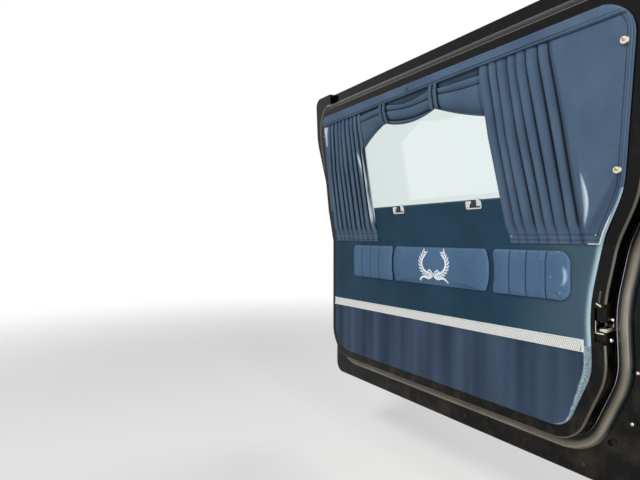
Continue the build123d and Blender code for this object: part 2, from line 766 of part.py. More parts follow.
with BuildPart() as latch_fork:
    with BuildSketch(section(LATCH_FRONT + FORK_SET)):
        with Locations((FORK_CENTRE_DEPTH, MOUTH_HEIGHT)):
            Circle(FORK_RADIUS)
        with Locations((MOUTH_DEEP - MOUTH_RUN / 2, MOUTH_HEIGHT)):
            SlotOverall(MOUTH_RUN, FORK_SLOT, mode=Mode.SUBTRACT)
    extrude(amount=FORK_THICKNESS)
finish(latch_fork.part, "latch_fork")

# Outer handle with its feet, push button and lock
belly_y, belly_z = SKIN_BELLY
belt_y, belt_z = SKIN_BELT
HANDLE_LEAN = math.atan2(belly_y - belt_y, belt_z - belly_z)
HANDLE_FACE_Y = belly_y - (HANDLE_HEIGHT - belly_z) * math.tan(HANDLE_LEAN)
HANDLE_FACE = Plane(
    origin=(DOOR_X + HANDLE_X, DOOR_Y + HANDLE_FACE_Y, DOOR_Z + HANDLE_HEIGHT),
    x_dir=(1, 0, 0),
    z_dir=(0, math.cos(HANDLE_LEAN), math.sin(HANDLE_LEAN)),
)
FOOT_X = (HANDLE_LONG - HANDLE_FOOT) / 2

with BuildPart() as handle_bezel:
    with BuildSketch(HANDLE_FACE):
        with GridLocations(2 * FOOT_X, 0, 2, 1):
            RectangleRounded(
                HANDLE_FOOT + 2 * FOOT_PAD_BORDER,
                HANDLE_TALL + 2 * FOOT_PAD_BORDER,
                FOOT_PAD_ROUND,
            )
    extrude(amount=FOOT_PAD_THICKNESS)
finish(handle_bezel.part, "handle_bezel")

HANDLE_PLAN = Plane(
    origin=HANDLE_FACE.origin, x_dir=HANDLE_FACE.x_dir, z_dir=HANDLE_FACE.y_dir
)
with BuildPart() as outer_handle:
    with BuildSketch(HANDLE_PLAN) as grip:
        with BuildLine():
            outer = HANDLE_LONG / 2
            inner = FOOT_X - HANDLE_FOOT / 2
            FilletPolyline(
                (-outer, -FOOT_PAD_THICKNESS),
                (-outer, -HANDLE_STAND),
                (outer, -HANDLE_STAND),
                (outer, -FOOT_PAD_THICKNESS),
                (inner, -FOOT_PAD_THICKNESS),
                (inner, HANDLE_BAR - HANDLE_STAND),
                (-inner, HANDLE_BAR - HANDLE_STAND),
                (-inner, -FOOT_PAD_THICKNESS),
                radius=[0.0, HANDLE_END_ROUND, HANDLE_END_ROUND, 0.0,
                        0.0, HANDLE_BOW_ROUND, HANDLE_BOW_ROUND, 0.0],
                close=True,
            )
        make_face()
    extrude(amount=HANDLE_TALL / 2, both=True)
    rims = outer_handle.faces().filter_by(HANDLE_PLAN).edges()
    feet = HANDLE_FACE.offset(FOOT_PAD_THICKNESS)
    fillet([rim for rim in rims if feet.to_local_coords(rim.center()).Z > SEAT_GAP],
           radius=HANDLE_EDGE_ROUND)
finish(outer_handle.part, "outer_handle")

with BuildPart() as handle_button:
    with BuildSketch(HANDLE_FACE.offset(HANDLE_STAND)):
        with Locations((FOOT_X, 0)):
            Circle(BUTTON_PUSH_RADIUS)
    extrude(amount=BUTTON_PUSH_TALL)
finish(handle_button.part, "handle_button")

with BuildPart() as lock_cylinder:
    with BuildSketch(HANDLE_FACE):
        with Locations((FOOT_X, LOCK_DROP)):
            Circle(LOCK_RADIUS)
    extrude(amount=LOCK_PROUD, taper=LOCK_TAPER)
finish(lock_cylinder.part, "lock_cylinder")

# Hinges: door leaf with the middle knuckle, pillar leaf with the outer two, and pin
KNUCKLE_STACK = 3 * KNUCKLE_TALL + 2 * KNUCKLE_GAP
for side, height in HINGE_HEIGHTS.items():
    stack_bottom = height - KNUCKLE_STACK / 2
    outer_knuckles = (stack_bottom, stack_bottom + 2 * (KNUCKLE_TALL + KNUCKLE_GAP))
    middle_knuckle = stack_bottom + KNUCKLE_TALL + KNUCKLE_GAP

    with BuildPart() as door_leaf:
        with BuildSketch(hinge_level(height - LEAF_TALL / 2)):
            with Locations((AXIS_GAP + HEM_FOLD - LEAF_THICKNESS / 2,
                            (LEAF_OUTER - DOOR_LEAF_INNER) / 2)):
                Rectangle(LEAF_THICKNESS, LEAF_OUTER + DOOR_LEAF_INNER)
        extrude(amount=LEAF_TALL)
        fillet(door_leaf.edges().filter_by(Axis.X), radius=LEAF_ROUND)
        with BuildSketch(hinge_level(middle_knuckle)):
            Circle(KNUCKLE_RADIUS)
            with Locations(((AXIS_GAP + HEM_FOLD - LEAF_THICKNESS) / 2, (LEAF_OUTER - WEB_WIDE) / 2)):
                Rectangle(AXIS_GAP + HEM_FOLD - LEAF_THICKNESS, LEAF_OUTER + WEB_WIDE)
        extrude(amount=KNUCKLE_TALL)
        with BuildSketch(hinge_level(middle_knuckle)):
            Circle(PIN_RADIUS + PIN_RUNNING_FIT)
        extrude(amount=KNUCKLE_TALL, mode=Mode.SUBTRACT)
    finish(door_leaf.part, f"door_leaf_{side}")

    with BuildPart() as pillar_leaf:
        with BuildSketch(pillar_level(height - LEAF_TALL / 2)):
            with Locations((LEAF_THICKNESS / 2 - PILLAR_GAP,
                            (LEAF_OUTER - PILLAR_LEAF_INNER) / 2)):
                Rectangle(LEAF_THICKNESS, LEAF_OUTER + PILLAR_LEAF_INNER)
        extrude(amount=LEAF_TALL)
        across = Axis(origin=(0, 0, 0), direction=pillar_level(height).x_dir)
        fillet(pillar_leaf.edges().filter_by(across), radius=LEAF_ROUND)
        for bottom in outer_knuckles:
            with BuildSketch(pillar_level(bottom)):
                Circle(KNUCKLE_RADIUS)
                with Locations(((LEAF_THICKNESS - PILLAR_GAP) / 2, (LEAF_OUTER - WEB_WIDE) / 2)):
                    Rectangle(PILLAR_GAP - LEAF_THICKNESS, LEAF_OUTER + WEB_WIDE)
            extrude(amount=KNUCKLE_TALL)
        with BuildSketch(pillar_level(height - LEAF_TALL / 2)):
            Circle(PIN_RADIUS)
        extrude(amount=LEAF_TALL, mode=Mode.SUBTRACT)
        bolt_face = Plane(
            origin=pillar_level(height).from_local_coords((-PILLAR_GAP, -PILLAR_BOLT_DEPTH, 0)),
            x_dir=(0, 0, 1),
            z_dir=pillar_level(height).x_dir,
        )
        with BuildSketch(bolt_face):
            with GridLocations(PILLAR_BOLT_SPACING, 0, 2, 1):
                Circle(BOLT_HOLE_RADIUS)
        extrude(amount=LEAF_THICKNESS, mode=Mode.SUBTRACT)
    finish(pillar_leaf.part, f"pillar_leaf_{side}")

    with BuildPart() as hinge_pin:
        with BuildSketch(hinge_level(stack_bottom)):
            Circle(PIN_RADIUS)
        extrude(amount=KNUCKLE_STACK)
        with BuildSketch(hinge_level(stack_bottom + KNUCKLE_STACK)):
            Circle(PIN_HEAD_RADIUS)
        extrude(amount=PIN_HEAD_TALL)
    finish(hinge_pin.part, f"hinge_pin_{side}")

# Door check: bracket on the pillar, strap, and guide plate on the door's front wall
guide_shut = (AXIS_GAP + HEM_FOLD - CHECK_PLATE_THICKNESS / 2, -CHECK_GUIDE_DEPTH)
CHECK_PIVOT = (-guide_shut[0], guide_shut[1])
pivot_x, pivot_y = opened(*CHECK_PIVOT)
PIVOT_PLACE = (HINGE_X + pivot_x, HINGE_Y + pivot_y)
strap_x = guide_shut[0] - pivot_x
strap_y = guide_shut[1] - pivot_y
STRAP_ANGLE = math.degrees(math.atan2(strap_y, strap_x))
STRAP_REACH = math.hypot(strap_x, strap_y)
BRACKET_STAND = PILLAR_GAP + CHECK_PIVOT[0]
BRACKET_TALL = CHECK_STRAP_TALL + 2 * (BRACKET_LIP + BRACKET_GAP)


def strap_level(z):
    """Plan plane at height z with its origin on the strap's pivot, turned along the strap."""
    return Plane(
        origin=(PIVOT_PLACE[0], PIVOT_PLACE[1], DOOR_Z + z), x_dir=(1, 0, 0), z_dir=(0, 0, 1)
    ).rotated((0, 0, STRAP_ANGLE))


with BuildPart() as check_strap:
    with BuildSketch(strap_level(CHECK_HEIGHT - CHECK_STRAP_TALL / 2)):
        Circle(CHECK_EYE_RADIUS)
        with Locations(((STRAP_REACH + CHECK_TAIL) / 2, 0)):
            Rectangle(STRAP_REACH + CHECK_TAIL, CHECK_STRAP_THICKNESS)
        Circle(CHECK_PIN_RADIUS + PIN_RUNNING_FIT, mode=Mode.SUBTRACT)
    extrude(amount=CHECK_STRAP_TALL)
finish(check_strap.part, "check_strap")

with BuildPart() as check_bracket:
    with BuildSketch(pillar_level(CHECK_HEIGHT - BRACKET_TALL / 2)):
        with Locations((CHECK_PIVOT[0] - BRACKET_STAND + LEAF_THICKNESS / 2, CHECK_PIVOT[1])):
            Rectangle(LEAF_THICKNESS, BRACKET_WIDE)
    extrude(amount=BRACKET_TALL)
    for bottom in (CHECK_HEIGHT - BRACKET_TALL / 2, CHECK_HEIGHT + BRACKET_TALL / 2 - BRACKET_LIP):
        with BuildSketch(pillar_level(bottom)):
            with Locations((CHECK_PIVOT[0] - BRACKET_STAND / 2, CHECK_PIVOT[1])):
                Rectangle(BRACKET_STAND, BRACKET_LIP_WIDE)
            with Locations(CHECK_PIVOT):
                Circle(BRACKET_LIP_WIDE / 2)
        extrude(amount=BRACKET_LIP)
    with BuildSketch(strap_level(CHECK_HEIGHT - BRACKET_TALL / 2)):
        Circle(CHECK_PIN_RADIUS)
    extrude(amount=BRACKET_TALL)
    bracket_face = Plane(
        origin=pillar_level(CHECK_HEIGHT).from_local_coords((-PILLAR_GAP, CHECK_PIVOT[1], 0)),
        x_dir=pillar_level(CHECK_HEIGHT).y_dir,
        z_dir=pillar_level(CHECK_HEIGHT).x_dir,
    )
    with BuildSketch(bracket_face):
        with GridLocations(BRACKET_BOLT_SPACING, 0, 2, 1):
            Circle(BRACKET_HOLE_RADIUS)
    extrude(amount=LEAF_THICKNESS, mode=Mode.SUBTRACT)
finish(check_bracket.part, "check_bracket")

with BuildPart() as check_plate:
    with BuildSketch(section(DOOR_FRONT)):
        with Locations((GUIDE_Y, CHECK_HEIGHT)):
            Rectangle(CHECK_PLATE_WIDE, CHECK_PLATE_TALL)
            Rectangle(CHECK_SLOT_WIDE, CHECK_SLOT_TALL, mode=Mode.SUBTRACT)
    extrude(amount=-CHECK_PLATE_THICKNESS)
finish(check_plate.part, "check_plate")
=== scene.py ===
import logging
import math
from dataclasses import dataclass, field
from enum import Enum
from typing import Any, Callable, Sequence

import bmesh
import bpy
import numpy as np
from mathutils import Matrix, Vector
from mathutils.bvhtree import BVHTree


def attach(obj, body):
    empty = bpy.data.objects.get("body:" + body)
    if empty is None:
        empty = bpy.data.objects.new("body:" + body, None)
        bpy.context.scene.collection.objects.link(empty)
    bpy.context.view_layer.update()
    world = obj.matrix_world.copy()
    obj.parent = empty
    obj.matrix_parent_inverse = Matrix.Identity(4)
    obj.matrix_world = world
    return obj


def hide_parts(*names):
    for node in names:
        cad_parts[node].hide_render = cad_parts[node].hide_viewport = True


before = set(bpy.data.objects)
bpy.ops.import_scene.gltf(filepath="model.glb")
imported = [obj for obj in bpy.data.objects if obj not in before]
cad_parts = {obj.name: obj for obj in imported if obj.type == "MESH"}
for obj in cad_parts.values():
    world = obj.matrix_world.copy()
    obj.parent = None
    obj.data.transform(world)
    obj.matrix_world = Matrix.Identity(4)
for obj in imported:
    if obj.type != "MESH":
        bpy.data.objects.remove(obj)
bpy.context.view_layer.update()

# Looks of a hearse's right rear side door, hung open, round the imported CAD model.
# Sizes in the classes are millimetres in door coordinates: x from the trim's front edge to
# the free edge, y outwards from the plane of the lower trim, z up from the drawing's floor
# level. to_frame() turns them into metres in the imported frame.

log = logging.getLogger("hearse_door")
DOOR_ORIGIN = np.array((0.134958, -0.121246, -0.190))
MM = 0.001
DOOR = "door"

SILL_HEIGHT = 711.0
HEADER_TOP = 1109.0
HEM_BOTTOM = 579.0
HEM_SEAMS = (24.0, 10.5)
SEAM_GAP = 0.3
FLAT_STAND = 1.3
TRIM_HEIGHTS = (-30.0, 578.0, 1045.0, 1218.0)
TRIM_DEPTHS = (0.0, 0.0, -85.0, -92.0)
TRIM_MIDDLE = 600.0
FLANGE_DEPTH = 62.0
SEAM_LINE = ((0.0, 300.0, 880.0, 1300.0), (1067.0, 1070.0, 1076.0, 1077.0))
DRAPE_HEIGHTS = (HEM_BOTTOM, 880.0, 1066.0)
DRAPE_FRONT = ((17.0, 317.0), (39.0, 317.0), (78.0, 317.0))
DRAPE_REAR = ((926.0, 1134.0), (894.0, 1113.0), (888.0, 1097.0))
INWARDS = (0.0, -1.0, 0.0)
INWARDS_ABOVE_SILL = (0.0, -1.0, -85.0 / 467.0)


def trim_y(z: np.ndarray) -> np.ndarray:
    """Depth in mm of the trim plane at heights z, which leans inwards above the sill."""
    return np.interp(z, TRIM_HEIGHTS, TRIM_DEPTHS)


def flange_depth(x: np.ndarray, z: np.ndarray) -> np.ndarray:
    """Depth in mm of the flange behind the trim plane; the front post's comes further in."""
    share = np.clip((z - 668.0) / 332.0, 0.0, 1.0) * (1.0 - smooth(x, 40.0, 58.0))
    return FLANGE_DEPTH - 22.0 * share


def seam_height(x: np.ndarray) -> np.ndarray:
    """Height in mm of the seam below the header band at x."""
    return np.interp(x, *SEAM_LINE)


def below_seam(x: np.ndarray) -> np.ndarray:
    """Height in mm at x at which the cloth below the header's seam begins."""
    return seam_height(x) - SEAM_GAP


def drape_edge(widths: Sequence[tuple[float, float]], side: int, z: np.ndarray) -> np.ndarray:
    """X in mm of a drape's front (0) or rear (1) border at heights z."""
    return np.interp(z, DRAPE_HEIGHTS, [pair[side] for pair in widths])


def level(height: float) -> Callable[[np.ndarray], np.ndarray]:
    """Function that gives the same height in mm at every x."""
    return lambda x: np.full_like(x, height)


def to_frame(points: np.ndarray) -> np.ndarray:
    """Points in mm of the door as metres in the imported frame."""
    return np.asarray(points, float) * MM + DOOR_ORIGIN


def linear(hex_colour: str) -> tuple[float, float, float, float]:
    """Linear colour of an sRGB hex value such as #40FF00, with alpha 1."""
    parts = [int(hex_colour[i : i + 2], 16) / 255 for i in (1, 3, 5)]
    curved = [c / 12.92 if c <= 0.04045 else ((c + 0.055) / 1.055) ** 2.4 for c in parts]
    return (*curved, 1.0)


def add_node(
    tree: bpy.types.NodeTree,
    kind: str,
    settings: dict[Any, Any] | None = None,
    links: dict[Any, bpy.types.NodeSocket] | None = None,
) -> bpy.types.Node:
    """Add a node to a shader or geometry tree with its settings and links.

    Args:
        tree: The tree that gets the node.
        kind: The node's type name.
        settings: Properties or input values, by property or socket name or socket number; a
            colour ramp's two stops are rows of place and hex colour under the name stops.
        links: Output sockets that feed its inputs, by input name or number.

    Returns:
        The new node.
    """
    node = tree.nodes.new(kind)
    for key, value in (settings or {}).items():
        if key == "stops":
            for step, (place, colour) in zip(node.color_ramp.elements, value):
                step.position, step.color = place, linear(colour)
        elif isinstance(key, str) and hasattr(node, key):
            setattr(node, key, value)
        else:
            node.inputs[key].default_value = value
    for key, source in (links or {}).items():
        tree.links.new(source, node.inputs[key])
    return node


# A row of a node recipe: the result's name, the node's type, the output that is the result,
# the node's settings, and by input the name of the result (or a tuple of names) that feeds it.
Row = tuple[str, str, Any, dict[Any, Any], dict[Any, Any]]


def wire(tree: bpy.types.NodeTree, rows: Sequence[Row], known: dict[str, Any]) -> dict[str, Any]:
    """Add a recipe's nodes in turn.

    Args:
        tree: The tree that gets the nodes.
        rows: The recipe.
        known: Sockets that the recipe starts from, by name; the results are added to them.

    Returns:
        All sockets by name.
    """
    for result, kind, output, settings, feeds in rows:
        node = add_node(tree, kind, settings)
        for key, names in feeds.items():
            for name in names if isinstance(names, tuple) else (names,):
                tree.links.new(known[name], node.inputs[key])
        known[result] = node.outputs[output]
    return known


# Finishes
#
# Scales are per metre of the object or the cloth, so 1000 divided by a noise's scale is the
# size of its patches in mm. Bump distances are metres. A Map Range reads from its inputs 1
# and 2 and gives 3 to 4. A Mix of colours has its share in 0 and its colours in 6 and 7.

NOISE, WAVE, VORONOI = "ShaderNodeTexNoise", "ShaderNodeTexWave", "ShaderNodeTexVoronoi"
MAPPING, RANGE, RAMP = "ShaderNodeMapping", "ShaderNodeMapRange", "ShaderNodeValToRGB"
BUMP, MATH, MIX = "ShaderNodeBump", "ShaderNodeMath", "ShaderNodeMix"
ADD, TIMES, GREATER = ({"operation": name} for name in ("ADD", "MULTIPLY", "MAXIMUM"))
TIMES_ADD = {"operation": "MULTIPLY_ADD"}
COLOURS = {"data_type": "RGBA"}


class Mark(Enum):
    """Point attributes from 0 to 1 that a piece may carry for its finish: painted shade that
    darkens its colour and painted light that lightens it.
    """

    # Painted shade: colour darkened where shade falls in folds, seams, channels and gaps.
    HOLLOW = "hollow"
    # Painted light: colour lightened where light falls on edges, crowns and sunlit patches; on the
    # seal partly brown dust.
    WORN = "worn"


OBJECT: Row = ("object", "ShaderNodeTexCoord", "Object", {}, {})
CLOTH: Row = ("cloth", "ShaderNodeTexCoord", "UV", {}, {})
ALONG: Row = ("x", "ShaderNodeSeparateXYZ", "X", {}, {0: "object"})
HEIGHT: Row = ("z", "ShaderNodeSeparateXYZ", "Z", {}, {0: "object"})
HOLLOW, WORN = (
    (mark.value, "ShaderNodeAttribute", "Fac", {"attribute_name": mark.value}, {}) for mark in Mark
)


@dataclass(frozen=True)
class Finish:
    """A surface finish: its name, colour, roughness, metallic share and specular level."""

    name: str
    colour: str
    roughness: float
    metallic: float = 0.0
    specular: float = 0.5

    def material(self) -> bpy.types.Material:
        """Make the material: the plain surface, with the finish's pattern over it.

        Returns:
            The new material.
        """
        made = bpy.data.materials.new(self.name)
        made.use_nodes = True
        made.diffuse_color = linear(self.colour)
        tree = made.node_tree
        shader = tree.nodes["Principled BSDF"]
        plain = {
            "Base Color": linear(self.colour), "Roughness": self.roughness,
            "Metallic": self.metallic, "Specular IOR Level": self.specular, **self.shading(),
        }
        for name, value in plain.items():
            shader.inputs[name].default_value = value
        for name, source in wire(tree, self.pattern(), {}).items():
            if name in shader.inputs:
                tree.links.new(source, shader.inputs[name])
        return made

    def shading(self) -> dict[str, float]:
        """Further constants of the shader; a plain finish has none."""
        return {}

    def pattern(self) -> tuple[Row, ...]:
        """Recipe whose results that are named as shader inputs feed them; here none.

        Returns:
            The rows of the recipe.
        """
        return ()


@dataclass(frozen=True)
class GlossEnamel(Finish):
    """Black stoving enamel on pressed steel: mirror gloss, faint orange peel, road dust that also
    paints the ground's brown reflection.
    """

    peel: float = 260.0
    dust: str = "#3A3127"

    def pattern(self) -> tuple[Row, ...]:
        """Orange peel of about 4 mm, and brown road dust low on the door, which is also a painted
        reflection of the brown ground.

        Returns:
            The rows of the recipe.
        """
        return (
            OBJECT,
            HEIGHT,
            ("peel", NOISE, "Fac", {"Scale": self.peel, "Detail": 1.0}, {0: "object"}),
            ("Normal", BUMP, 0, {"Distance": 0.000015}, {"Height": "peel"}),
            # Brown low on the door: road dust and a painted reflection of the brown ground.
            ("spread", MAPPING, 0, {"Scale": (24.0, 24.0, 18.0)}, {0: "object"}),
            ("patches", NOISE, "Fac", {"Scale": 1.0, "Detail": 6.0}, {0: "spread"}),
            ("low", RANGE, 0, {1: -0.2, 2: 0.45, 3: 0.1, 4: -0.12}, {0: "z"}),
            ("dusty", MATH, 0, ADD, {0: "patches", 1: "low"}),
            ("Base Color", RAMP, 0, {"stops": ((0.5, self.colour), (1.0, self.dust))},
             {0: "dusty"}),
            ("Roughness", RANGE, 0, {1: 0.45, 2: 0.95, 3: self.roughness, 4: 0.34},
             {0: "dusty"}),
        )


@dataclass(frozen=True)
class SpongeRubber(Finish):
    """Extruded EPDM: a fine skin, with a tan painted highlight that is partly brown dust and a
    blue-black painted reflection.
    """

    worn: str = "#8E8671"
    inner: str = "#1E2430"

    def pattern(self) -> tuple[Row, ...]:
        """Painted highlight in tan on the crown, stronger low down and partly brown dust; painted
        blue-black reflection inside and high.

        Returns:
            The rows of the recipe.
        """
        return (
            OBJECT,
            HEIGHT,
            WORN,
            ("drawn", MAPPING, 0, {"Scale": (9.0, 30.0, 9.0)}, {0: "object"}),
            ("streaks", NOISE, "Fac", {"Scale": 1.0, "Detail": 4.0}, {0: "drawn"}),
            ("low", RANGE, 0, {1: 0.2, 2: 0.75, 3: 1.0, 4: 0.12}, {0: "z"}),
            # Tan on the crown, strongest low down: painted highlight, partly dust; the rest takes
            # the painted blue-black reflection.
            ("scuffed", MATH, 0, TIMES, {0: "worn", 1: "low"}),
            ("sill", RANGE, 0, {1: -0.07, 2: -0.13, 3: 0.0, 4: 0.75}, {0: "z"}),
            ("rubbed", MATH, 0, GREATER, {0: "scuffed", 1: "sill"}),
            ("tan", RAMP, 0, {"stops": ((0.3, self.colour), (0.7, self.worn))}, {0: "streaks"}),
            ("dark", RAMP, 0, {"stops": ((0.3, "#15161A"), (0.8, self.inner))}, {0: "streaks"}),
            ("Base Color", MIX, 2, COLOURS, {0: "rubbed", 6: "dark", 7: "tan"}),
            ("grain", NOISE, "Fac", {"Scale": 900.0, "Detail": 2.0}, {0: "object"}),
            ("Normal", BUMP, 0, {"Distance": 0.00006}, {"Height": "grain"}),
        )


@dataclass(frozen=True)
class Leathercloth(Finish):
    """Embossed PVC on knit: closed pores, a soft sheen and slight wiping marks, with painted shade
    and painted highlights where the piece marks them.
    """

    light: str = "#29475B"
    grain: float = 620.0
    depth: float = 0.0001
    faded: str = "#A6BECA"
    specks: bool = False

    def pattern(self) -> tuple[Row, ...]:
        """Grain cells of about 1.6 mm, shade that drifts over a hand's breadth, painted highlights
        on the edges and painted shade in the channels.

        Returns:
            The recipe, with painted glints, pale flecks about 5 mm apart at the rear, if there are
            specks.
        """
        rows: tuple[Row, ...] = (
            OBJECT,
            HOLLOW,
            WORN,
            ("cells", VORONOI, "Distance", {"Scale": self.grain, "feature": "DISTANCE_TO_EDGE"},
             {0: "object"}),
            ("Normal", BUMP, 0, {"Distance": self.depth}, {"Height": "cells"}),
            ("wide", MAPPING, 0, {"Scale": (6.0, 6.0, 5.0)}, {0: "object"}),
            ("drift", NOISE, "Fac", {"Scale": 1.0, "Detail": 5.0}, {0: "wide"}),
            ("cover", RAMP, 0, {"stops": ((0.3, self.colour), (0.75, self.light))},
             {0: "drift"}),
            # Painted shade: darker colour where the piece marks shade.
            ("shaded", MIX, 2, COLOURS | {7: linear("#131C27")}, {0: "hollow", 6: "cover"}),
            # Painted highlight: pale colour where the piece marks light.
            ("Base Color", MIX, 2, COLOURS | {7: linear(self.faded)}, {0: "worn", 6: "shaded"}),
        )
        # Painted glints: pale flecks at the rear.
        lint: tuple[Row, ...] = (
            ALONG,
            ("fleck", NOISE, "Fac", {"Scale": 210.0, "Detail": 0.0}, {0: "object"}),
            ("bits", RAMP, 0, {"stops": ((0.79, "#000000"), (0.83, "#FFFFFF"))}, {0: "fleck"}),
            ("at_rear", RANGE, 0, {1: 1.12, 2: 1.2, 3: 0.0, 4: 0.9}, {0: "x"}),
            ("lint", MATH, 0, TIMES, {0: "bits", 1: "at_rear"}),
            ("Base Color", MIX, 2, COLOURS | {7: linear("#B4C4D4")},
             {0: "lint", 6: "Base Color"}),
        )
        return rows + lint if self.specks else rows


@dataclass(frozen=True)
class WovenCloth(Finish):
    """Plain-woven wool and polyester: matt, with a bloom of loose fibre."""

    light: str = "#556A81"
    thread: float = 620.0
    shaded: str = "#070B12"

    def shading(self) -> dict[str, float]:
        """Sheen of the loose fibre."""
        return {"Sheen Weight": 0.06, "Sheen Roughness": 0.5}

    def pattern(self) -> tuple[Row, ...]:
        """Threads 1.6 mm apart, twice the real pitch so that they show; painted shade in the folds
        and painted sunlight where the piece marks them.

        Returns:
            The rows of the recipe.
        """
        weave = {"Scale": self.thread / 3.2, "Distortion": 1.5, "Detail": 1.0}
        return (
            CLOTH,
            HOLLOW,
            WORN,
            ("warp", WAVE, "Fac", weave | {"bands_direction": "X"}, {0: "cloth"}),
            ("weft", WAVE, "Fac", weave | {"bands_direction": "Y"}, {0: "cloth"}),
            ("weave", MATH, 0, GREATER, {0: "warp", 1: "weft"}),
            ("Normal", BUMP, 0, {"Distance": 0.0001}, {"Height": "weave"}),
            ("fine", MAPPING, 0, {"Scale": (700.0, 120.0, 1.0)}, {0: "cloth"}),
            ("slubs", NOISE, "Fac", {"Scale": 1.0, "Detail": 3.0}, {0: "fine"}),
            ("wide", MAPPING, 0, {"Scale": (8.0, 5.0, 1.0)}, {0: "cloth"}),
            ("drift", NOISE, "Fac", {"Scale": 1.0, "Detail": 4.0}, {0: "wide"}),
            ("both", MATH, 0, TIMES_ADD | {1: 0.5}, {0: "slubs", 2: "drift"}),
            ("cover", RAMP, 0, {"stops": ((0.5, self.colour), (1.0, self.light))}, {0: "both"}),
            # Painted shade in folds, seams and gaps.
            ("deep", MIX, 2, COLOURS | {7: linear(self.shaded)}, {0: "hollow", 6: "cover"}),
            # Painted sunlight in pale #CFDCE4.
            ("Base Color", MIX, 2, COLOURS | {7: linear("#CFDCE4")}, {0: "worn", 6: "deep"}),
        )


@dataclass(frozen=True)
class CutPile(Finish):
    """Cut-pile nylon carpet: the pile leans in bands, so it shows light and dark stripes."""

    light: str = "#45566B"
    bands: float = 13.0
    tuft: float = 420.0

    def shading(self) -> dict[str, float]:
        """Sheen of the upright fibre ends."""
        return {"Sheen Weight": 0.12, "Sheen Roughness": 0.4}

    def pattern(self) -> tuple[Row, ...]:
        """Upright nap bands 40 to 60 mm wide, tufts of about 2 mm, and a painted highlight on the
        turned edge.

        Returns:
            The rows of the recipe.
        """
        return (
            OBJECT,
            WORN,
            ("lean", MAPPING, 0, {"Scale": (self.bands, 1.0, 0.8)}, {0: "object"}),
            ("nap", NOISE, "Fac", {"Scale": 1.0, "Detail": 1.5}, {0: "lean"}),
            ("tufts", NOISE, "Fac", {"Scale": self.tuft, "Detail": 2.0}, {0: "object"}),
            ("Normal", BUMP, 0, {"Distance": 0.0011}, {"Height": "tufts"}),
            ("both", MATH, 0, TIMES_ADD | {1: 0.42}, {0: "tufts", 2: "nap"}),
            ("pile", RAMP, 0, {"stops": ((0.56, self.colour), (0.86, self.light))}, {0: "both"}),
            # Painted highlight on the rolled rear edge.
            ("pale", RAMP, 0, {"stops": ((0.36, "#4C6475"), (0.6, "#B9CCD2"))}, {0: "tufts"}),
            ("Base Color", MIX, 2, COLOURS, {0: "worn", 6: "pile", 7: "pale"}),
        )


@dataclass(frozen=True)
class PlatedMetal(Finish):
    """Plated or bare metal: base metal colour with its own dull and bright patches."""

    patch: float = 60.0
    dulled: float = 0.1

    def pattern(self) -> tuple[Row, ...]:
        """Patches of duller plate, some 15 mm across.

        Returns:
            The rows of the recipe.
        """
        dull = self.roughness + self.dulled
        return (
            OBJECT,
            ("spots", NOISE, "Fac", {"Scale": self.patch, "Detail": 5.0}, {0: "object"}),
            ("Roughness", RANGE, 0, {1: 0.35, 2: 0.75, 3: self.roughness, 4: dull},
             {0: "spots"}),
        )


@dataclass(frozen=True)
class BeadWithPaintedHighlight(Finish):
    """Painted steel edge made bright metal low down and at the rear, as a painted highlight line
    there.
    """

    bright: str = "#C9CCD2"

    def pattern(self) -> tuple[Row, ...]:
        """Painted highlight: bright below half height behind the latch, black elsewhere.

        Returns:
            The rows of the recipe.
        """
        return (
            OBJECT,
            ALONG,
            HEIGHT,
            ("low", RANGE, 0, {1: 0.5, 2: 0.3, 3: 0.0, 4: 1.0}, {0: "z"}),
            ("rear", RANGE, 0, {1: 1.0, 2: 1.22, 3: 0.0, 4: 1.0}, {0: "x"}),
            ("Metallic", MATH, 0, TIMES, {0: "low", 1: "rear"}),
            ("Base Color", RAMP, 0, {"stops": ((0.1, self.colour), (0.8, self.bright))},
             {0: "Metallic"}),
        )


@dataclass(frozen=True)
class ToughenedGlass(Finish):
    """Toughened float glass with a faint green-grey tint, clear all through."""

    def shading(self) -> dict[str, float]:
        """Clear glass; the tint is the surface colour's."""
        return {"Transmission Weight": 1.0, "IOR": 1.5}


@dataclass(frozen=True)
class SilverThread(Finish):
    """Metallised thread laid in satin stitch: pale, with a directional gleam."""

    def pattern(self) -> tuple[Row, ...]:
        """Threads 0.8 mm apart as a bump.

        Returns:
            The rows of the recipe.
        """
        laid = {"Scale": 390.0, "bands_direction": "DIAGONAL", "Distortion": 0.5}
        return (
            OBJECT,
            ("threads", WAVE, "Fac", laid, {0: "object"}),
            ("Normal", BUMP, 0, {"Distance": 0.0001}, {"Height": "threads"}),
        )


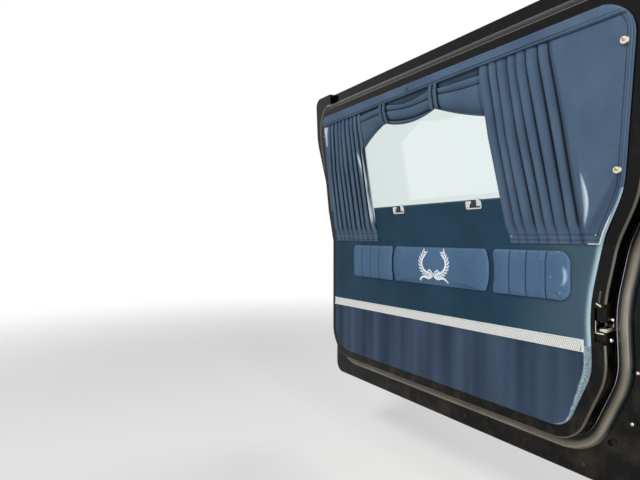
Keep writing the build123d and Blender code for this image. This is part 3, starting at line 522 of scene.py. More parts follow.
class Finishes:
    """The materials of the door, made once and looked up by name."""

    def __init__(self) -> None:
        """Make every material."""
        self.enamel = GlossEnamel("black_stoving_enamel", "#040404", 0.07, 0.0, 0.18).material()
        self.satin = GlossEnamel("satin_black_hinge_paint", "#101013", 0.35).material()
        # The edge finish's light brown is a painted highlight on the pressed edge roll and the
        # latch guard.
        self.edge = Finish("dusty_enamel_edge", "#453F35", 0.28, 0.0, 0.6).material()
        self.seal = SpongeRubber("epdm_sponge_rubber", "#6A6252", 0.27, 0.0, 0.5).material()
        self.rubber = SpongeRubber(
            "black_epdm_rubber", "#0E0E0F", 0.5, 0.0, 0.3, worn="#1B1A18", inner="#141416"
        ).material()
        self.board = Leathercloth("blue_leathercloth", "#1C3647", 0.62, 0.0, 0.12).material()
        self.pad = Leathercloth(
            "slate_blue_pad_cloth", "#486380", 0.7, 0.0, 0.15, light="#557190", grain=900.0,
            specks=True,
        ).material()
        self.cloth = WovenCloth("slate_blue_woven_cloth", "#42566D", 0.85, 0.0, 0.15).material()
        self.carpet = CutPile("navy_cut_pile_carpet", "#28374A", 0.95, 0.0, 0.1).material()
        self.chrome = PlatedMetal("chrome_plate", "#D5D7DA", 0.07, 1.0).material()
        self.nickel = PlatedMetal("nickel_plate", "#E8DFCE", 0.22, 1.0).material()
        self.brass = PlatedMetal("yellow_brass", "#C2AC84", 0.35, 1.0).material()
        self.zinc = PlatedMetal("zinc_plate", "#E2D8C2", 0.3, 1.0).material()
        self.carrier = BeadWithPaintedHighlight("bare_steel_edge", "#0A0A0B", 0.22, 0.0, 0.4).material()
        self.strip = Finish("satin_anodised_aluminium", "#ECEDEB", 0.42, 0.3).material()
        self.groove = Finish("dirt_in_the_flutes", "#A8A292", 0.8).material()
        self.glass = ToughenedGlass("toughened_glass", "#E4EEEC", 0.0).material()
        self.silver = SilverThread("silver_thread", "#E9EFF5", 0.6, 0.0, 0.3).material()
        self.thread = Finish("navy_sewing_thread", "#1B2636", 0.8).material()
        self.piping = Finish("white_piping_cord", "#C9D2DA", 0.7).material()


# Geometry


@dataclass(frozen=True)
class RoundedOutline:
    """Closed outline seen from inside the car, from corners of x, z and radius."""

    corners: tuple[tuple[float, float, float], ...]

    def loop(self, grow: float = 0.0, step: float = 8.0) -> np.ndarray:
        """Points round the outline, anticlockwise.

        Args:
            grow: How far the outline is moved outwards, in mm.
            step: Greatest distance between points, in mm; the count doesn't depend on grow.

        Returns:
            Rows of x and z in mm.
        """
        spots = np.array([c[:2] for c in self.corners])
        count = len(spots)
        arcs: list[np.ndarray] = []
        for i, (x, z, radius) in enumerate(self.corners):
            here = np.array((x, z))
            come = here - spots[i - 1]
            go = spots[(i + 1) % count] - here
            come, go = come / np.linalg.norm(come), go / np.linalg.norm(go)
            turn = math.atan2(come[0] * go[1] - come[1] * go[0], come @ go)
            sign = 1.0 if turn > 0 else -1.0
            tangent = radius * math.tan(abs(turn) / 2)
            inside = np.array((-come[1], come[0])) * sign
            centre = here - come * tangent + inside * radius
            reach = radius + grow * sign
            steps = max(2, math.ceil(abs(turn) * (radius + 70.0) / step))
            if reach <= 0.0:
                mitre = np.array((come[1] + go[1], -come[0] - go[0]))
                mitre /= 1.0 + come @ go
                arcs.append(np.repeat([here + mitre * grow], steps + 1, axis=0))
                continue
            start = math.atan2(-inside[1], -inside[0])
            angles = start + turn * np.linspace(0.0, 1.0, steps + 1)
            arcs.append(centre + reach * np.stack((np.cos(angles), np.sin(angles)), axis=1))
        points: list[np.ndarray] = []
        for i, arc in enumerate(arcs):
            points.extend(arc)
            base = np.linalg.norm(spots[(i + 1) % count] - spots[i])
            runs = max(1, math.ceil(base / step))
            follow = arcs[(i + 1) % count][0]
            points.extend(arc[-1] + (follow - arc[-1]) * k / runs for k in range(1, runs))
        return np.array(points)

    def span(self, grow: float = 0.0) -> Callable[[np.ndarray], tuple[np.ndarray, np.ndarray]]:
        """Function that gives the outline's least and greatest x at heights z.

        Args:
            grow: How far the outline is moved outwards, in mm.

        Returns:
            The function, of an array of z in mm.
        """
        loop = self.loop(grow, 3.0)
        after = np.roll(loop, -1, axis=0)
        heights = np.arange(loop[:, 1].min() + 0.05, loop[:, 1].max() - 0.05, 1.0)
        low, high = [], []
        for z in heights:
            crossing = (loop[:, 1] <= z) != (after[:, 1] <= z)
            a, b = loop[crossing], after[crossing]
            x = a[:, 0] + (z - a[:, 1]) / (b[:, 1] - a[:, 1]) * (b[:, 0] - a[:, 0])
            low.append(x.min())
            high.append(x.max())
        return lambda z: (np.interp(z, heights, low), np.interp(z, heights, high))

    def distance(self, x: np.ndarray, z: np.ndarray, grow: float = 0.0) -> np.ndarray:
        """Distance in mm from points to the outline's line.

        Args:
            x: X of the points in mm.
            z: Their z in mm.
            grow: How far the outline is moved outwards, in mm.

        Returns:
            An array of x's shape.
        """
        loop = self.loop(grow, 6.0)
        after = np.roll(loop, -1, axis=0)
        run = after - loop
        points = np.stack((x.ravel(), z.ravel()), axis=1)
        best = np.full(len(points), np.inf)
        for a, d in zip(loop, run):
            length = max(float(d @ d), 1e-9)
            t = np.clip(((points - a) @ d) / length, 0.0, 1.0)
            gap = points - a - t[:, None] * d
            best = np.minimum(best, np.einsum("ij,ij->i", gap, gap))
        return np.sqrt(best).reshape(x.shape)


TRIM = RoundedOutline(
    (
        (5.0, 103.0, 95.0),
        (1085.0, 103.0, 62.0),
        (1152.0, 262.0, 150.0),
        (1144.0, 425.0, 500.0),
        (1178.0, 592.0, 200.0),
        (1236.0, 706.0, 250.0),
        (1300.0, 1109.0, 70.0),
        (50.0, 1109.0, 25.0),
        (5.0, 711.0, 0.0),
    )
)


def link_object(name: str, data: Any) -> bpy.types.Object:
    """New object with that mesh, camera or lamp, linked to the scene."""
    made = bpy.data.objects.new(name, data)
    bpy.context.scene.collection.objects.link(made)
    return made


def put_marks(mesh: bpy.types.Mesh, marks: dict[Mark, np.ndarray]) -> None:
    """Write point attributes from 0 to 1 that the finish reads."""
    for mark, share in marks.items():
        made = mesh.attributes.new(mark.value, "FLOAT", "POINT")
        made.data.foreach_set("value", np.clip(share, 0.0, 1.0).astype(np.float32).ravel())


def make_object(
    name: str,
    points: np.ndarray,
    faces: Sequence[Sequence[int]],
    material: bpy.types.Material,
    layout: np.ndarray | None = None,
    sharp: float = 40.0,
    marks: dict[Mark, np.ndarray] | None = None,
) -> bpy.types.Object:
    """Make a mesh object from points in mm of the door.

    Args:
        name: The piece's name.
        points: Rows of x, y and z in mm.
        faces: Rows of point numbers.
        material: The piece's material.
        layout: Cloth layout in metres for each point, if the cloth needs one.
        sharp: Angle in degrees past which an edge stays sharp.
        marks: Point attributes that the finish reads, from 0 to 1.

    Returns:
        The new object, linked to the scene.
    """
    mesh = bpy.data.meshes.new(name)
    mesh.from_pydata(to_frame(points).tolist(), [], [list(map(int, f)) for f in faces])
    if layout is not None:
        sheet = mesh.uv_layers.new(name="cloth")
        corners = np.zeros(len(mesh.loops), np.int32)
        mesh.loops.foreach_get("vertex_index", corners)
        sheet.data.foreach_set("uv", layout[corners].astype(np.float32).ravel())
    put_marks(mesh, marks or {})
    mesh.materials.append(material)
    mesh.shade_smooth()
    mesh.set_sharp_from_angle(angle=math.radians(sharp))
    mesh.validate()
    return link_object(name, mesh)


def face_outwards(made: bpy.types.Object, merge: float = 1e-6) -> None:
    """Merge doubled points of a closed mesh and turn its faces outwards.

    Args:
        made: The object.
        merge: Greatest distance in metres between doubled points.
    """
    shape = bmesh.new()
    shape.from_mesh(made.data)
    bmesh.ops.remove_doubles(shape, verts=shape.verts, dist=merge)
    bmesh.ops.recalc_face_normals(shape, faces=shape.faces)
    shape.to_mesh(made.data)
    shape.free()


def grid_faces(number: np.ndarray, ring: bool = False, flip: bool = False) -> list[tuple]:
    """Quads between the rows of a table of point numbers.

    Args:
        number: Point numbers in rows.
        ring: Whether each row closes on itself.
        flip: Whether the quads turn the other way.

    Returns:
        Four point numbers for each quad.
    """
    if ring:
        number = np.concatenate((number, number[:, :1]), axis=1)
    a, b, c, d = number[:-1, :-1], number[:-1, 1:], number[1:, 1:], number[1:, :-1]
    order = (a, d, c, b) if flip else (a, b, c, d)
    return list(zip(*(corner.ravel().tolist() for corner in order)))


def swept_ring(
    name: str,
    outline: RoundedOutline,
    profile: Sequence[tuple[float, float, float]],
    material: bpy.types.Material,
    depth: Callable[[np.ndarray, np.ndarray], np.ndarray] = flange_depth,
    skip: tuple[float, float] | None = None,
) -> bpy.types.Object:
    """Sweep a closed profile round an outline on the flange.

    Args:
        name: The piece's name.
        outline: The outline that it follows.
        profile: Points of the section: mm outside the outline, mm inwards of the flange, and the
            share of painted light there.
        material: The piece's material.
        depth: Depth in mm of what it stands on, from x and z.
        skip: Heights between which the rear run is left open, if any.

    Returns:
        The tube, closed unless it is left open.
    """
    rings = []
    for out, stand, _ in profile:
        loop = outline.loop(out)
        y = trim_y(loop[:, 1]) + depth(loop[:, 0], loop[:, 1]) - stand
        rings.append(np.stack((loop[:, 0], y, loop[:, 1]), axis=1))
    around, across = len(rings[0]), len(rings)
    number = np.arange(around * across).reshape(across, around)
    low, high = skip or (0.0, 0.0)
    x, z = rings[0][:, 0], rings[0][:, 2]
    open_run = (x > TRIM_MIDDLE) & (z > low) & (z < high)
    quads = grid_faces(np.concatenate((number, number[:1])), ring=True)
    faces = [quad for k, quad in enumerate(quads) if not open_run[k % around]]
    for j in np.flatnonzero(open_run & ~np.roll(open_run, 1)):
        faces.append(tuple(number[:, j]))
    for j in np.flatnonzero(open_run & ~np.roll(open_run, -1)):
        faces.append(tuple(number[::-1, (j + 1) % around]))
    worn = np.repeat([row[2] for row in profile], around)
    made = make_object(name, np.concatenate(rings), faces, material, marks={Mark.WORN: worn})
    face_outwards(made)
    return made


@dataclass
class SheetGrid:
    """A surface of rows between two height lines, each row from edge to edge.

    rows run from 0 at the top to 1 at the bottom. columns have a share of the width and
    an offset in mm. relief gives how far the surface stands inwards of the trim plane.
    """

    top: Callable[[np.ndarray], np.ndarray]
    bottom: Callable[[np.ndarray], np.ndarray]
    span: Callable[[np.ndarray], tuple[np.ndarray, np.ndarray]]
    rows: np.ndarray
    columns: np.ndarray
    x: np.ndarray = field(init=False)
    z: np.ndarray = field(init=False)

    def __post_init__(self) -> None:
        """Work out the places of the grid's points."""
        share, offset = self.columns[:, 0][None, :], self.columns[:, 1][None, :]
        rows = self.rows[:, None]
        left, right = self.span(np.full((1, 1), float(self.top(np.zeros(1))[0]) - 20.0))
        x = left + share * (right - left) + offset + 0.0 * rows
        for _ in range(4):
            top, bottom = self.top(x), self.bottom(x)
            z = top + rows * (bottom - top)
            left, right = self.span(z)
            x = left + share * (right - left) + offset
        self.x, self.z = x, z

    def surface(
        self,
        name: str,
        relief: np.ndarray,
        material: bpy.types.Material,
        back: float | None = None,
        sharp: float = 40.0,
        marks: dict[Mark, np.ndarray] | None = None,
    ) -> bpy.types.Object:
        """Mesh of the grid.

        Args:
            name: The piece's name.
            relief: How far each point stands inwards of the trim plane, in mm.
            material: The piece's material.
            back: Depth in mm, outwards of the trim plane, of a closed back, if it has one.
            sharp: Angle in degrees past which an edge stays sharp.
            marks: Point attributes that the finish reads, one value for each grid point.

        Returns:
            The new object.
        """
        high, wide = self.x.shape
        y = trim_y(self.z) - relief
        front = np.stack((self.x, y, self.z), axis=2)
        run = np.linalg.norm(np.diff(front, axis=1), axis=2)
        along = np.concatenate((np.zeros((high, 1)), np.cumsum(run, axis=1)), axis=1)
        along -= along[:, wide // 2 : wide // 2 + 1]
        layout = np.stack((along, self.z), axis=2).reshape(-1, 2) * MM
        number = np.arange(high * wide).reshape(high, wide)
        faces = grid_faces(number, flip=True)
        points = front.reshape(-1, 3)
        flat = {mark: np.asarray(share, float).ravel() for mark, share in (marks or {}).items()}
        if back is not None:
            behind = front.copy()
            behind[:, :, 1] = trim_y(self.z) + back
            shift = high * wide
            points = np.concatenate((points, behind.reshape(-1, 3)))
            layout = np.concatenate((layout, layout))
            flat = {mark: np.concatenate((share, share)) for mark, share in flat.items()}
            faces += [(f[3] + shift, f[2] + shift, f[1] + shift, f[0] + shift) for f in faces]
            rim = np.concatenate(
                (number[0, :-1], number[:-1, -1], number[-1, :0:-1], number[:0:-1, 0])
            )
            ahead = np.roll(rim, -1)
            faces += [(p, q, q + shift, p + shift) for p, q in zip(rim, ahead)]
        made = make_object(name, points, faces, material, layout, sharp, flat)
        if back is not None:
            face_outwards(made, 1e-5)
        return made


def spaced_columns(width: float, step: float, rim: Sequence[float] = (0.0,)) -> np.ndarray:
    """Columns for a SheetGrid: dense at both edges and even between them.

    Args:
        width: Usual width of the sheet in mm.
        step: Distance in mm between the even columns.
        rim: Distances in mm from an edge that get a column.

    Returns:
        Rows of share and offset.
    """
    reach = rim[-1]
    count = max(2, round((width - 2 * reach) / step))
    left = [(0.0, r) for r in rim[:-1]]
    middle = [(k / count, reach * (1 - 2 * k / count)) for k in range(count + 1)]
    right = [(1.0, -r) for r in reversed(rim[:-1])]
    return np.array(left + middle + right)


def spaced_rows(height: float, step: float, dense: Sequence[float] = ()) -> np.ndarray:
    """Rows for a SheetGrid: even ones, and ones at given distances in mm from the top.

    Args:
        height: Usual height of the sheet in mm.
        step: Distance between the even rows.
        dense: Distances of the further rows.

    Returns:
        Shares of the height, rising.
    """
    even = np.linspace(0.0, 1.0, max(2, round(height / step)) + 1)
    extra = np.array([d / height for d in dense])
    together = np.unique(np.round(np.concatenate((even, extra)), 6))
    return together[(together >= 0.0) & (together <= 1.0)]


def rolled_edge(distance: np.ndarray, wide: Any, deep: float | None = None) -> np.ndarray:
    """Drop in mm of a surface whose edge is rounded over, at distances from the edge.

    Args:
        distance: Distance from the edge in mm.
        wide: How far in the rounding begins.
        deep: How far the edge drops; as much as wide if it isn't given.

    Returns:
        The drop in mm.
    """
    near = np.clip(1.0 - distance / wide, 0.0, 1.0)
    return (wide if deep is None else deep) * (1.0 - np.sqrt(1.0 - near * near))


def curve_through(stops: Sequence[Sequence[float]], place: np.ndarray) -> list[np.ndarray]:
    """Smooth curves through rows of a place and values.

    Args:
        stops: Rows of a rising place and the values there.
        place: Places to read.

    Returns:
        One array for each column of values.
    """
    rows = np.array(stops, float)
    at, values = rows[:, 0], rows[:, 1:]
    slope = np.gradient(values, at, axis=0)
    i = np.clip(np.searchsorted(at, place, side="right") - 1, 0, len(at) - 2)
    step = (at[i + 1] - at[i])[..., None]
    t = (place - at[i])[..., None] / step
    made = (
        (2 * t**3 - 3 * t**2 + 1) * values[i] + (t**3 - 2 * t**2 + t) * step * slope[i]
        + (3 * t**2 - 2 * t**3) * values[i + 1] + (t**3 - t**2) * step * slope[i + 1]
    )
    return [made[..., k] for k in range(values.shape[1])]


def ridge(distance: np.ndarray, width: float) -> np.ndarray:
    """Smooth bump of height 1 across a line, about width mm wide each side."""
    return np.exp(-((distance / width) ** 2))


def smooth(value: np.ndarray, low: float, high: float) -> np.ndarray:
    """Smooth step from 0 at low to 1 at high."""
    t = np.clip((value - low) / (high - low), 0.0, 1.0)
    return t * t * (3.0 - 2.0 * t)


def finish_modifiers(made: bpy.types.Object) -> bpy.types.Object:
    """Turn an object's modifiers into its plain mesh and remove them.

    Args:
        made: The object.

    Returns:
        The same object.
    """
    graph = bpy.context.evaluated_depsgraph_get()
    plain = bpy.data.meshes.new_from_object(made.evaluated_get(graph))
    made.modifiers.clear()
    old = made.data
    made.data = plain
    plain.name = made.name
    if old.users == 0:
        bpy.data.meshes.remove(old)
    return made


def thicken(made: bpy.types.Object, thickness: float) -> bpy.types.Object:
    """Give a cloth its thickness in mm, away from the side that faces into the car.

    Args:
        made: The cloth.
        thickness: Its thickness in mm.

    Returns:
        The same object.
    """
    cloth = made.modifiers.new("cloth_thickness", "SOLIDIFY")
    cloth.thickness = thickness * MM
    cloth.offset = -1.0
    return finish_modifiers(made)


class Touch:
    """Finds where a line straight outwards meets a piece's surface."""

    def __init__(self, piece: bpy.types.Object) -> None:
        """Read the piece's mesh as it is now.

        Args:
            piece: The piece to read.
        """
        mesh = piece.data
        self.tree = BVHTree.FromPolygons(
            [v.co for v in mesh.vertices], [tuple(p.vertices) for p in mesh.polygons]
        )

    def drop(self, line: np.ndarray, lift: float = 0.3) -> np.ndarray:
        """Points on the surface below a line of x and z in mm.

        Args:
            line: Rows of x and z in mm.
            lift: How far inwards of the surface the points are, in mm.

        Returns:
            Rows of x, y and z in mm, without those that miss the surface.
        """
        found = []
        for x, z in line:
            start = Vector(to_frame((x, -400.0, z)))
            place = self.tree.ray_cast(start, Vector((0.0, 1.0, 0.0)))[0]
            if place is not None:
                y = (place.y - DOOR_ORIGIN[1]) / MM
                found.append((x, y - lift, z))
        return np.array(found).reshape(-1, 3)

    def host(
        self, lines: Sequence[np.ndarray], lift: float
    ) -> tuple[np.ndarray, list[tuple[int, int]]]:
        """Lines laid on the surface, for a geometry tree.

        Args:
            lines: Rows of x and z in mm for each line.
            lift: How far inwards of the surface the points are, in mm.

        Returns:
            All points in mm, and the pairs of them that are joined.
        """
        points, edges = np.zeros((0, 3)), []
        for line in lines:
            found = self.drop(line, lift)
            edges += [(len(points) + i, len(points) + i + 1) for i in range(len(found) - 1)]
            points = np.concatenate((points, found))
        return points, edges


# Geometry trees

STITCH_SIZES = ("Stitch Pitch", "Stitch Length", "Thread Radius")
FLUTE_SIZES = ("Flute Pitch", "Flute Tall", "Flute Slant", "Rib Radius")
FLOAT, WHOLE, PIECE = "NodeSocketFloat", "NodeSocketInt", "NodeSocketObject"
ALIGN, TURN = "FunctionNodeAlignRotationToVector", "FunctionNodeRotateRotation"
SPIN, INSTANCES = "FunctionNodeAxisAngleToRotation", "GeometryNodeInstanceOnPoints"
TANGENT: Row = ("along", "GeometryNodeInputTangent", 0, {}, {})


def evenly(pitch: str) -> tuple[Row, ...]:
    """Start of a recipe: points along the host's lines, a pitch apart.

    Args:
        pitch: Name of the input that holds the pitch.

    Returns:
        The first rows of the recipe.
    """
    return (
        ("line", "GeometryNodeMeshToCurve", 0, {}, {0: "Geometry"}),
        ("even", "GeometryNodeResampleCurve", 0, {"mode": "LENGTH"},
         {"Curve": "line", "Length": pitch}),
    )


@dataclass
class GeometryTree:
    """A geometry node tree with named inputs, run once on a host and kept as a mesh.

    inputs gives each input's socket type and value. The recipe starts from the inputs by
    name and ends in a result named grown.
    """

    name: str
    inputs: dict[str, tuple[str, Any]]
    rows: tuple[Row, ...]
    tree: bpy.types.GeometryNodeTree = field(init=False)

    def __post_init__(self) -> None:
        """Make the group with its nodes, Realize Instances and Set Material at the end."""
        self.tree = bpy.data.node_groups.new(self.name, "GeometryNodeTree")
        self.tree.is_modifier = True
        sockets = self.tree.interface
        ends = ("NodeSocketGeometry", None), ("NodeSocketMaterial", None)
        every = {"Geometry": ends[0], **self.inputs, "Material": ends[1]}
        for label, (kind, value) in every.items():
            socket = sockets.new_socket(label, in_out="INPUT", socket_type=kind)
            if value is not None:
                socket.default_value = value
        sockets.new_socket("Geometry", in_out="OUTPUT", socket_type=ends[0][0])
        start = add_node(self.tree, "NodeGroupInput")
        known = wire(self.tree, self.rows, {label: start.outputs[label] for label in every})
        real = add_node(self.tree, "GeometryNodeRealizeInstances", links={0: known["grown"]})
        dressed = add_node(
            self.tree, "GeometryNodeSetMaterial",
            links={"Geometry": real.outputs[0], "Material": known["Material"]},
        )
        add_node(self.tree, "NodeGroupOutput", links={"Geometry": dressed.outputs[0]})

    def grow(
        self,
        name: str,
        points: np.ndarray,
        edges: Sequence[tuple[int, int]],
        values: dict[str, Any],
        facing: np.ndarray | None = None,
    ) -> bpy.types.Object:
        """Run the tree on points and edges and keep the result as a plain mesh.

        Args:
            name: The piece's name.
            points: Host points in mm of the door.
            edges: Pairs of point numbers that are joined.
            values: Values of the named inputs.
            facing: Direction of each point, if the tree reads one.

        Returns:
            The new piece.
        """
        host = bpy.data.meshes.new(name)
        host.from_pydata(to_frame(points).tolist(), list(edges), [])
        if facing is not None:
            spread = host.attributes.new("facing", "FLOAT_VECTOR", "POINT")
            spread.data.foreach_set("vector", facing.astype(np.float32).ravel())
        made = link_object(name, host)
        modifier = made.modifiers.new(self.name, "NODES")
        modifier.node_group = self.tree
        for item in self.tree.interface.items_tree:
            if item.in_out == "INPUT" and item.name in values:
                modifier[item.identifier] = values[item.name]
        finish_modifiers(made)
        made.data.shade_smooth()
        made.data.set_sharp_from_angle(angle=math.radians(40))
        return made


def stitch_tree() -> GeometryTree:
    """Tree that sews stitches along every line of its host.

    Returns:
        The tree.
    """
    sizes = zip(STITCH_SIZES, (0.005, 0.0036, 0.0005))
    return GeometryTree(
        "sewn_stitches",
        {name: (FLOAT, size) for name, size in sizes},
        (
            *evenly("Stitch Pitch"),
            TANGENT,
            ("bead", "GeometryNodeMeshIcoSphere", "Mesh", {"Radius": 1.0, "Subdivisions": 1}, {}),
            ("turned", ALIGN, 0, {"axis": "X"}, {"Vector": "along"}),
            ("half", MATH, 0, TIMES | {1: 0.5}, {0: "Stitch Length"}),
            ("size", "ShaderNodeCombineXYZ", 0, {},
             {"X": "half", "Y": "Thread Radius", "Z": "Thread Radius"}),
            ("grown", INSTANCES, 0, {},
             {"Points": "even", "Instance": "bead", "Rotation": "turned", "Scale": "size"}),
        ),
    )


def fastener_tree() -> GeometryTree:
    """Tree that puts a fastener on every point, turned to face along the point's facing.

    Returns:
        The tree.
    """
    return GeometryTree(
        "set_fasteners",
        {"Fastener": (PIECE, None), "Size": (FLOAT, 1.0), "Seed": (WHOLE, 7)},
        (
            ("part", "GeometryNodeObjectInfo", "Geometry", {}, {"Object": "Fastener"}),
            ("way", "GeometryNodeInputNamedAttribute", 0,
             {"data_type": "FLOAT_VECTOR", "Name": "facing"}, {}),
            ("turned", ALIGN, 0, {"axis": "Z"}, {"Vector": "way"}),
            ("chance", "FunctionNodeRandomValue", 1,
             {"data_type": "FLOAT", 2: 0.0, 3: math.tau}, {"Seed": "Seed"}),
            ("twist", SPIN, 0, {"Axis": (0.0, 0.0, 1.0)}, {"Angle": "chance"}),
            ("both", TURN, 0, {"rotation_space": "LOCAL"},
             {"Rotation": "turned", "Rotate By": "twist"}),
            ("grown", INSTANCES, 0, {},
             {"Points": "Geometry", "Instance": "part", "Rotation": "both", "Scale": "Size"}),
        ),
    )


def flute_tree() -> GeometryTree:
    """Tree that lays slanting half-round ribs side by side along its host line.

    Returns:
        The tree.
    """
    sizes = zip(FLUTE_SIZES, (0.004, 0.026, 0.006, 0.0015))
    ends = [
        row
        for end, share in (("low", -0.5), ("high", 0.5))
        for row in (
            (f"{end} z", MATH, 0, TIMES | {1: share}, {0: "Flute Tall"}),
            (f"{end} x", MATH, 0, TIMES | {1: share}, {0: "Flute Slant"}),
            (end, "ShaderNodeCombineXYZ", 0, {}, {"X": f"{end} x", "Z": f"{end} z"}),
        )
    ]
    return GeometryTree(
        "slanting_flutes",
        {name: (FLOAT, size) for name, size in sizes},
        (
            *evenly("Flute Pitch"),
            *ends,
            ("rod", "GeometryNodeCurvePrimitiveLine", 0, {}, {"Start": "low", "End": "high"}),
            ("round", "GeometryNodeCurvePrimitiveCircle", 0, {"Resolution": 8},
             {"Radius": "Rib Radius"}),
            ("rib", "GeometryNodeCurveToMesh", 0, {"Fill Caps": True},
             {"Curve": "rod", "Profile Curve": "round"}),
            ("grown", INSTANCES, 0, {}, {"Points": "even", "Instance": "rib"}),
        ),
    )


def leaf_tree() -> GeometryTree:
    """Tree that sets leaves on both sides of its host line and along it, turned in its plane.

    Returns:
        The tree.
    """
    pairs = [
        row
        for side, sign in (("left", -1.0), ("right", 1.0))
        for row in (
            (f"{side} angle", MATH, 0, TIMES | {1: sign}, {0: "Spread"}),
            (f"{side} twist", SPIN, 0, {"Axis": (0.0, 1.0, 0.0)}, {"Angle": f"{side} angle"}),
            (f"{side} turn", TURN, 0, {"rotation_space": "LOCAL"},
             {"Rotation": "turned", "Rotate By": f"{side} twist"}),
            (side, INSTANCES, 0, {},
             {"Points": "even", "Instance": "leaf", "Rotation": f"{side} turn"}),
        )
    ]
    return GeometryTree(
        "laurel_leaves",
        {"Leaf": (PIECE, None), "Leaf Pitch": (FLOAT, 0.009), "Spread": (FLOAT, 0.7)},
        (
            *evenly("Leaf Pitch"),
            TANGENT,
            ("leaf", "GeometryNodeObjectInfo", "Geometry", {}, {"Object": "Leaf"}),
            ("turned", ALIGN, 0, {"axis": "X", "pivot_axis": "Y"}, {"Vector": "along"}),
            *pairs,
            ("grown", "GeometryNodeJoinGeometry", 0, {}, {0: ("left", "right")}),
        ),
    )


# Sub-assemblies


def input_values(
    names: Sequence[str], sizes: Sequence[float], material: bpy.types.Material
) -> dict[str, Any]:
    """Values of a tree's inputs: sizes in metres by name, and the material."""
    return dict(zip(names, sizes)) | {"Material": material}


def hand_over(
    made: bpy.types.Object,
    slot: str,
    node: str | None = None,
    verb: str = "built",
) -> None:
    """Let a piece ride on the door and hide the CAD node whose place it takes.

    Args:
        made: The piece.
        slot: The record's slot; not used.
        node: The CAD node that it replaces, if any.
        verb: What the log says was done.
    """
    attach(made, DOOR)
    if node:
        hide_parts(node)
    log.info("%s %s", verb, made.name)


@dataclass
class Shell:
    """Pressed shell, skin, mouldings and rubber: the CAD solids with their finishes."""

    finishes: Finishes
    # Third column of the seal's section: painted highlight along the tube's crown, partly brown
    # dust.
    seal_profile: tuple[tuple[float, float, float], ...] = (
        (38.4, 0.0, 0.0), (38.2, 3.5, 0.0), (39.5, 6.0, 0.0), (41.0, 7.0, 0.0),
        (41.6, 11.0, 0.0), (44.0, 16.0, 0.0), (48.0, 19.8, 0.15), (53.0, 21.8, 0.25),
        (58.0, 21.6, 0.5), (63.0, 19.4, 1.0), (66.0, 16.6, 0.65), (68.4, 13.0, 0.2),
        (70.4, 8.5, 0.0), (71.6, 4.5, 0.0), (71.8, 2.0, 0.0), (71.2, 0.0, 0.0),
    )
    bead_profile: tuple[tuple[float, float, float], ...] = (
        (35.2, -0.3, 0.0), (35.2, 3.2, 0.0), (35.7, 4.3, 0.0), (36.8, 4.7, 0.0),
        (37.8, 4.2, 0.0), (38.1, 3.0, 0.0), (38.1, -0.3, 0.0),
    )
    roll_profile: tuple[tuple[float, float, float], ...] = (
        (29.9, 53.4, 0.0), (30.2, 54.2, 0.0), (31.4, 54.3, 0.0), (33.0, 52.9, 0.0),
        (34.2, 51.0, 0.0), (34.7, 49.4, 0.0), (34.0, 48.4, 0.0),
    )

    def dress(self) -> None:
        """Give each CAD node of the shell its material."""
        f = self.finishes
        dressing = {
            f.enamel: ("inner_shell", "window_frame", "outer_skin", "latch_housing"),
            f.glass: ("window_glass",),
            f.rubber: ("glass_gasket", "bump_stops"),
            f.chrome: (
                "belt_moulding", "side_moulding", "lower_moulding", "outer_handle",
                "handle_bezel", "handle_button", "lock_cylinder", "sill_clip_front",
                "sill_clip_rear",
            ),
            f.nickel: ("panel_buttons",),
            f.zinc: ("latch_fork", "check_strap"),
            f.cloth: ("window_surround",),
            f.board: ("upper_board",),
            f.carpet: ("carpet_panel",),
            f.strip: ("trim_strip",),
            f.satin: (
                "door_leaf_lower", "door_leaf_upper", "pillar_leaf_lower", "pillar_leaf_upper",
                "hinge_pin_lower", "hinge_pin_upper", "check_bracket", "check_plate",
            ),
        }
        for material, nodes in dressing.items():
            for node in nodes:
                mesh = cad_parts[node].data
                mesh.materials.clear()
                mesh.materials.append(material)
        log.info("dressed %d CAD nodes", sum(map(len, dressing.values())))

    def build_seal(self) -> None:
        """Sweep the seal's real section, its steel carrier bead and the pan's rolled edge."""
        seal = swept_ring("door_seal_tube", TRIM, self.seal_profile, self.finishes.seal)
        bead = swept_ring("seal_carrier_bead", TRIM, self.bead_profile, self.finishes.carrier)
        roll = swept_ring(
            "pressed_edge_roll", TRIM, self.roll_profile, self.finishes.edge,
            lambda x, z: np.full_like(x, FLANGE_DEPTH), (334.0, 430.0),
        )
        hand_over(seal, "rubber", "door_seal", "swept")
        hand_over(bead, "black_paint", verb="swept")
        hand_over(roll, "black_paint", verb="swept")


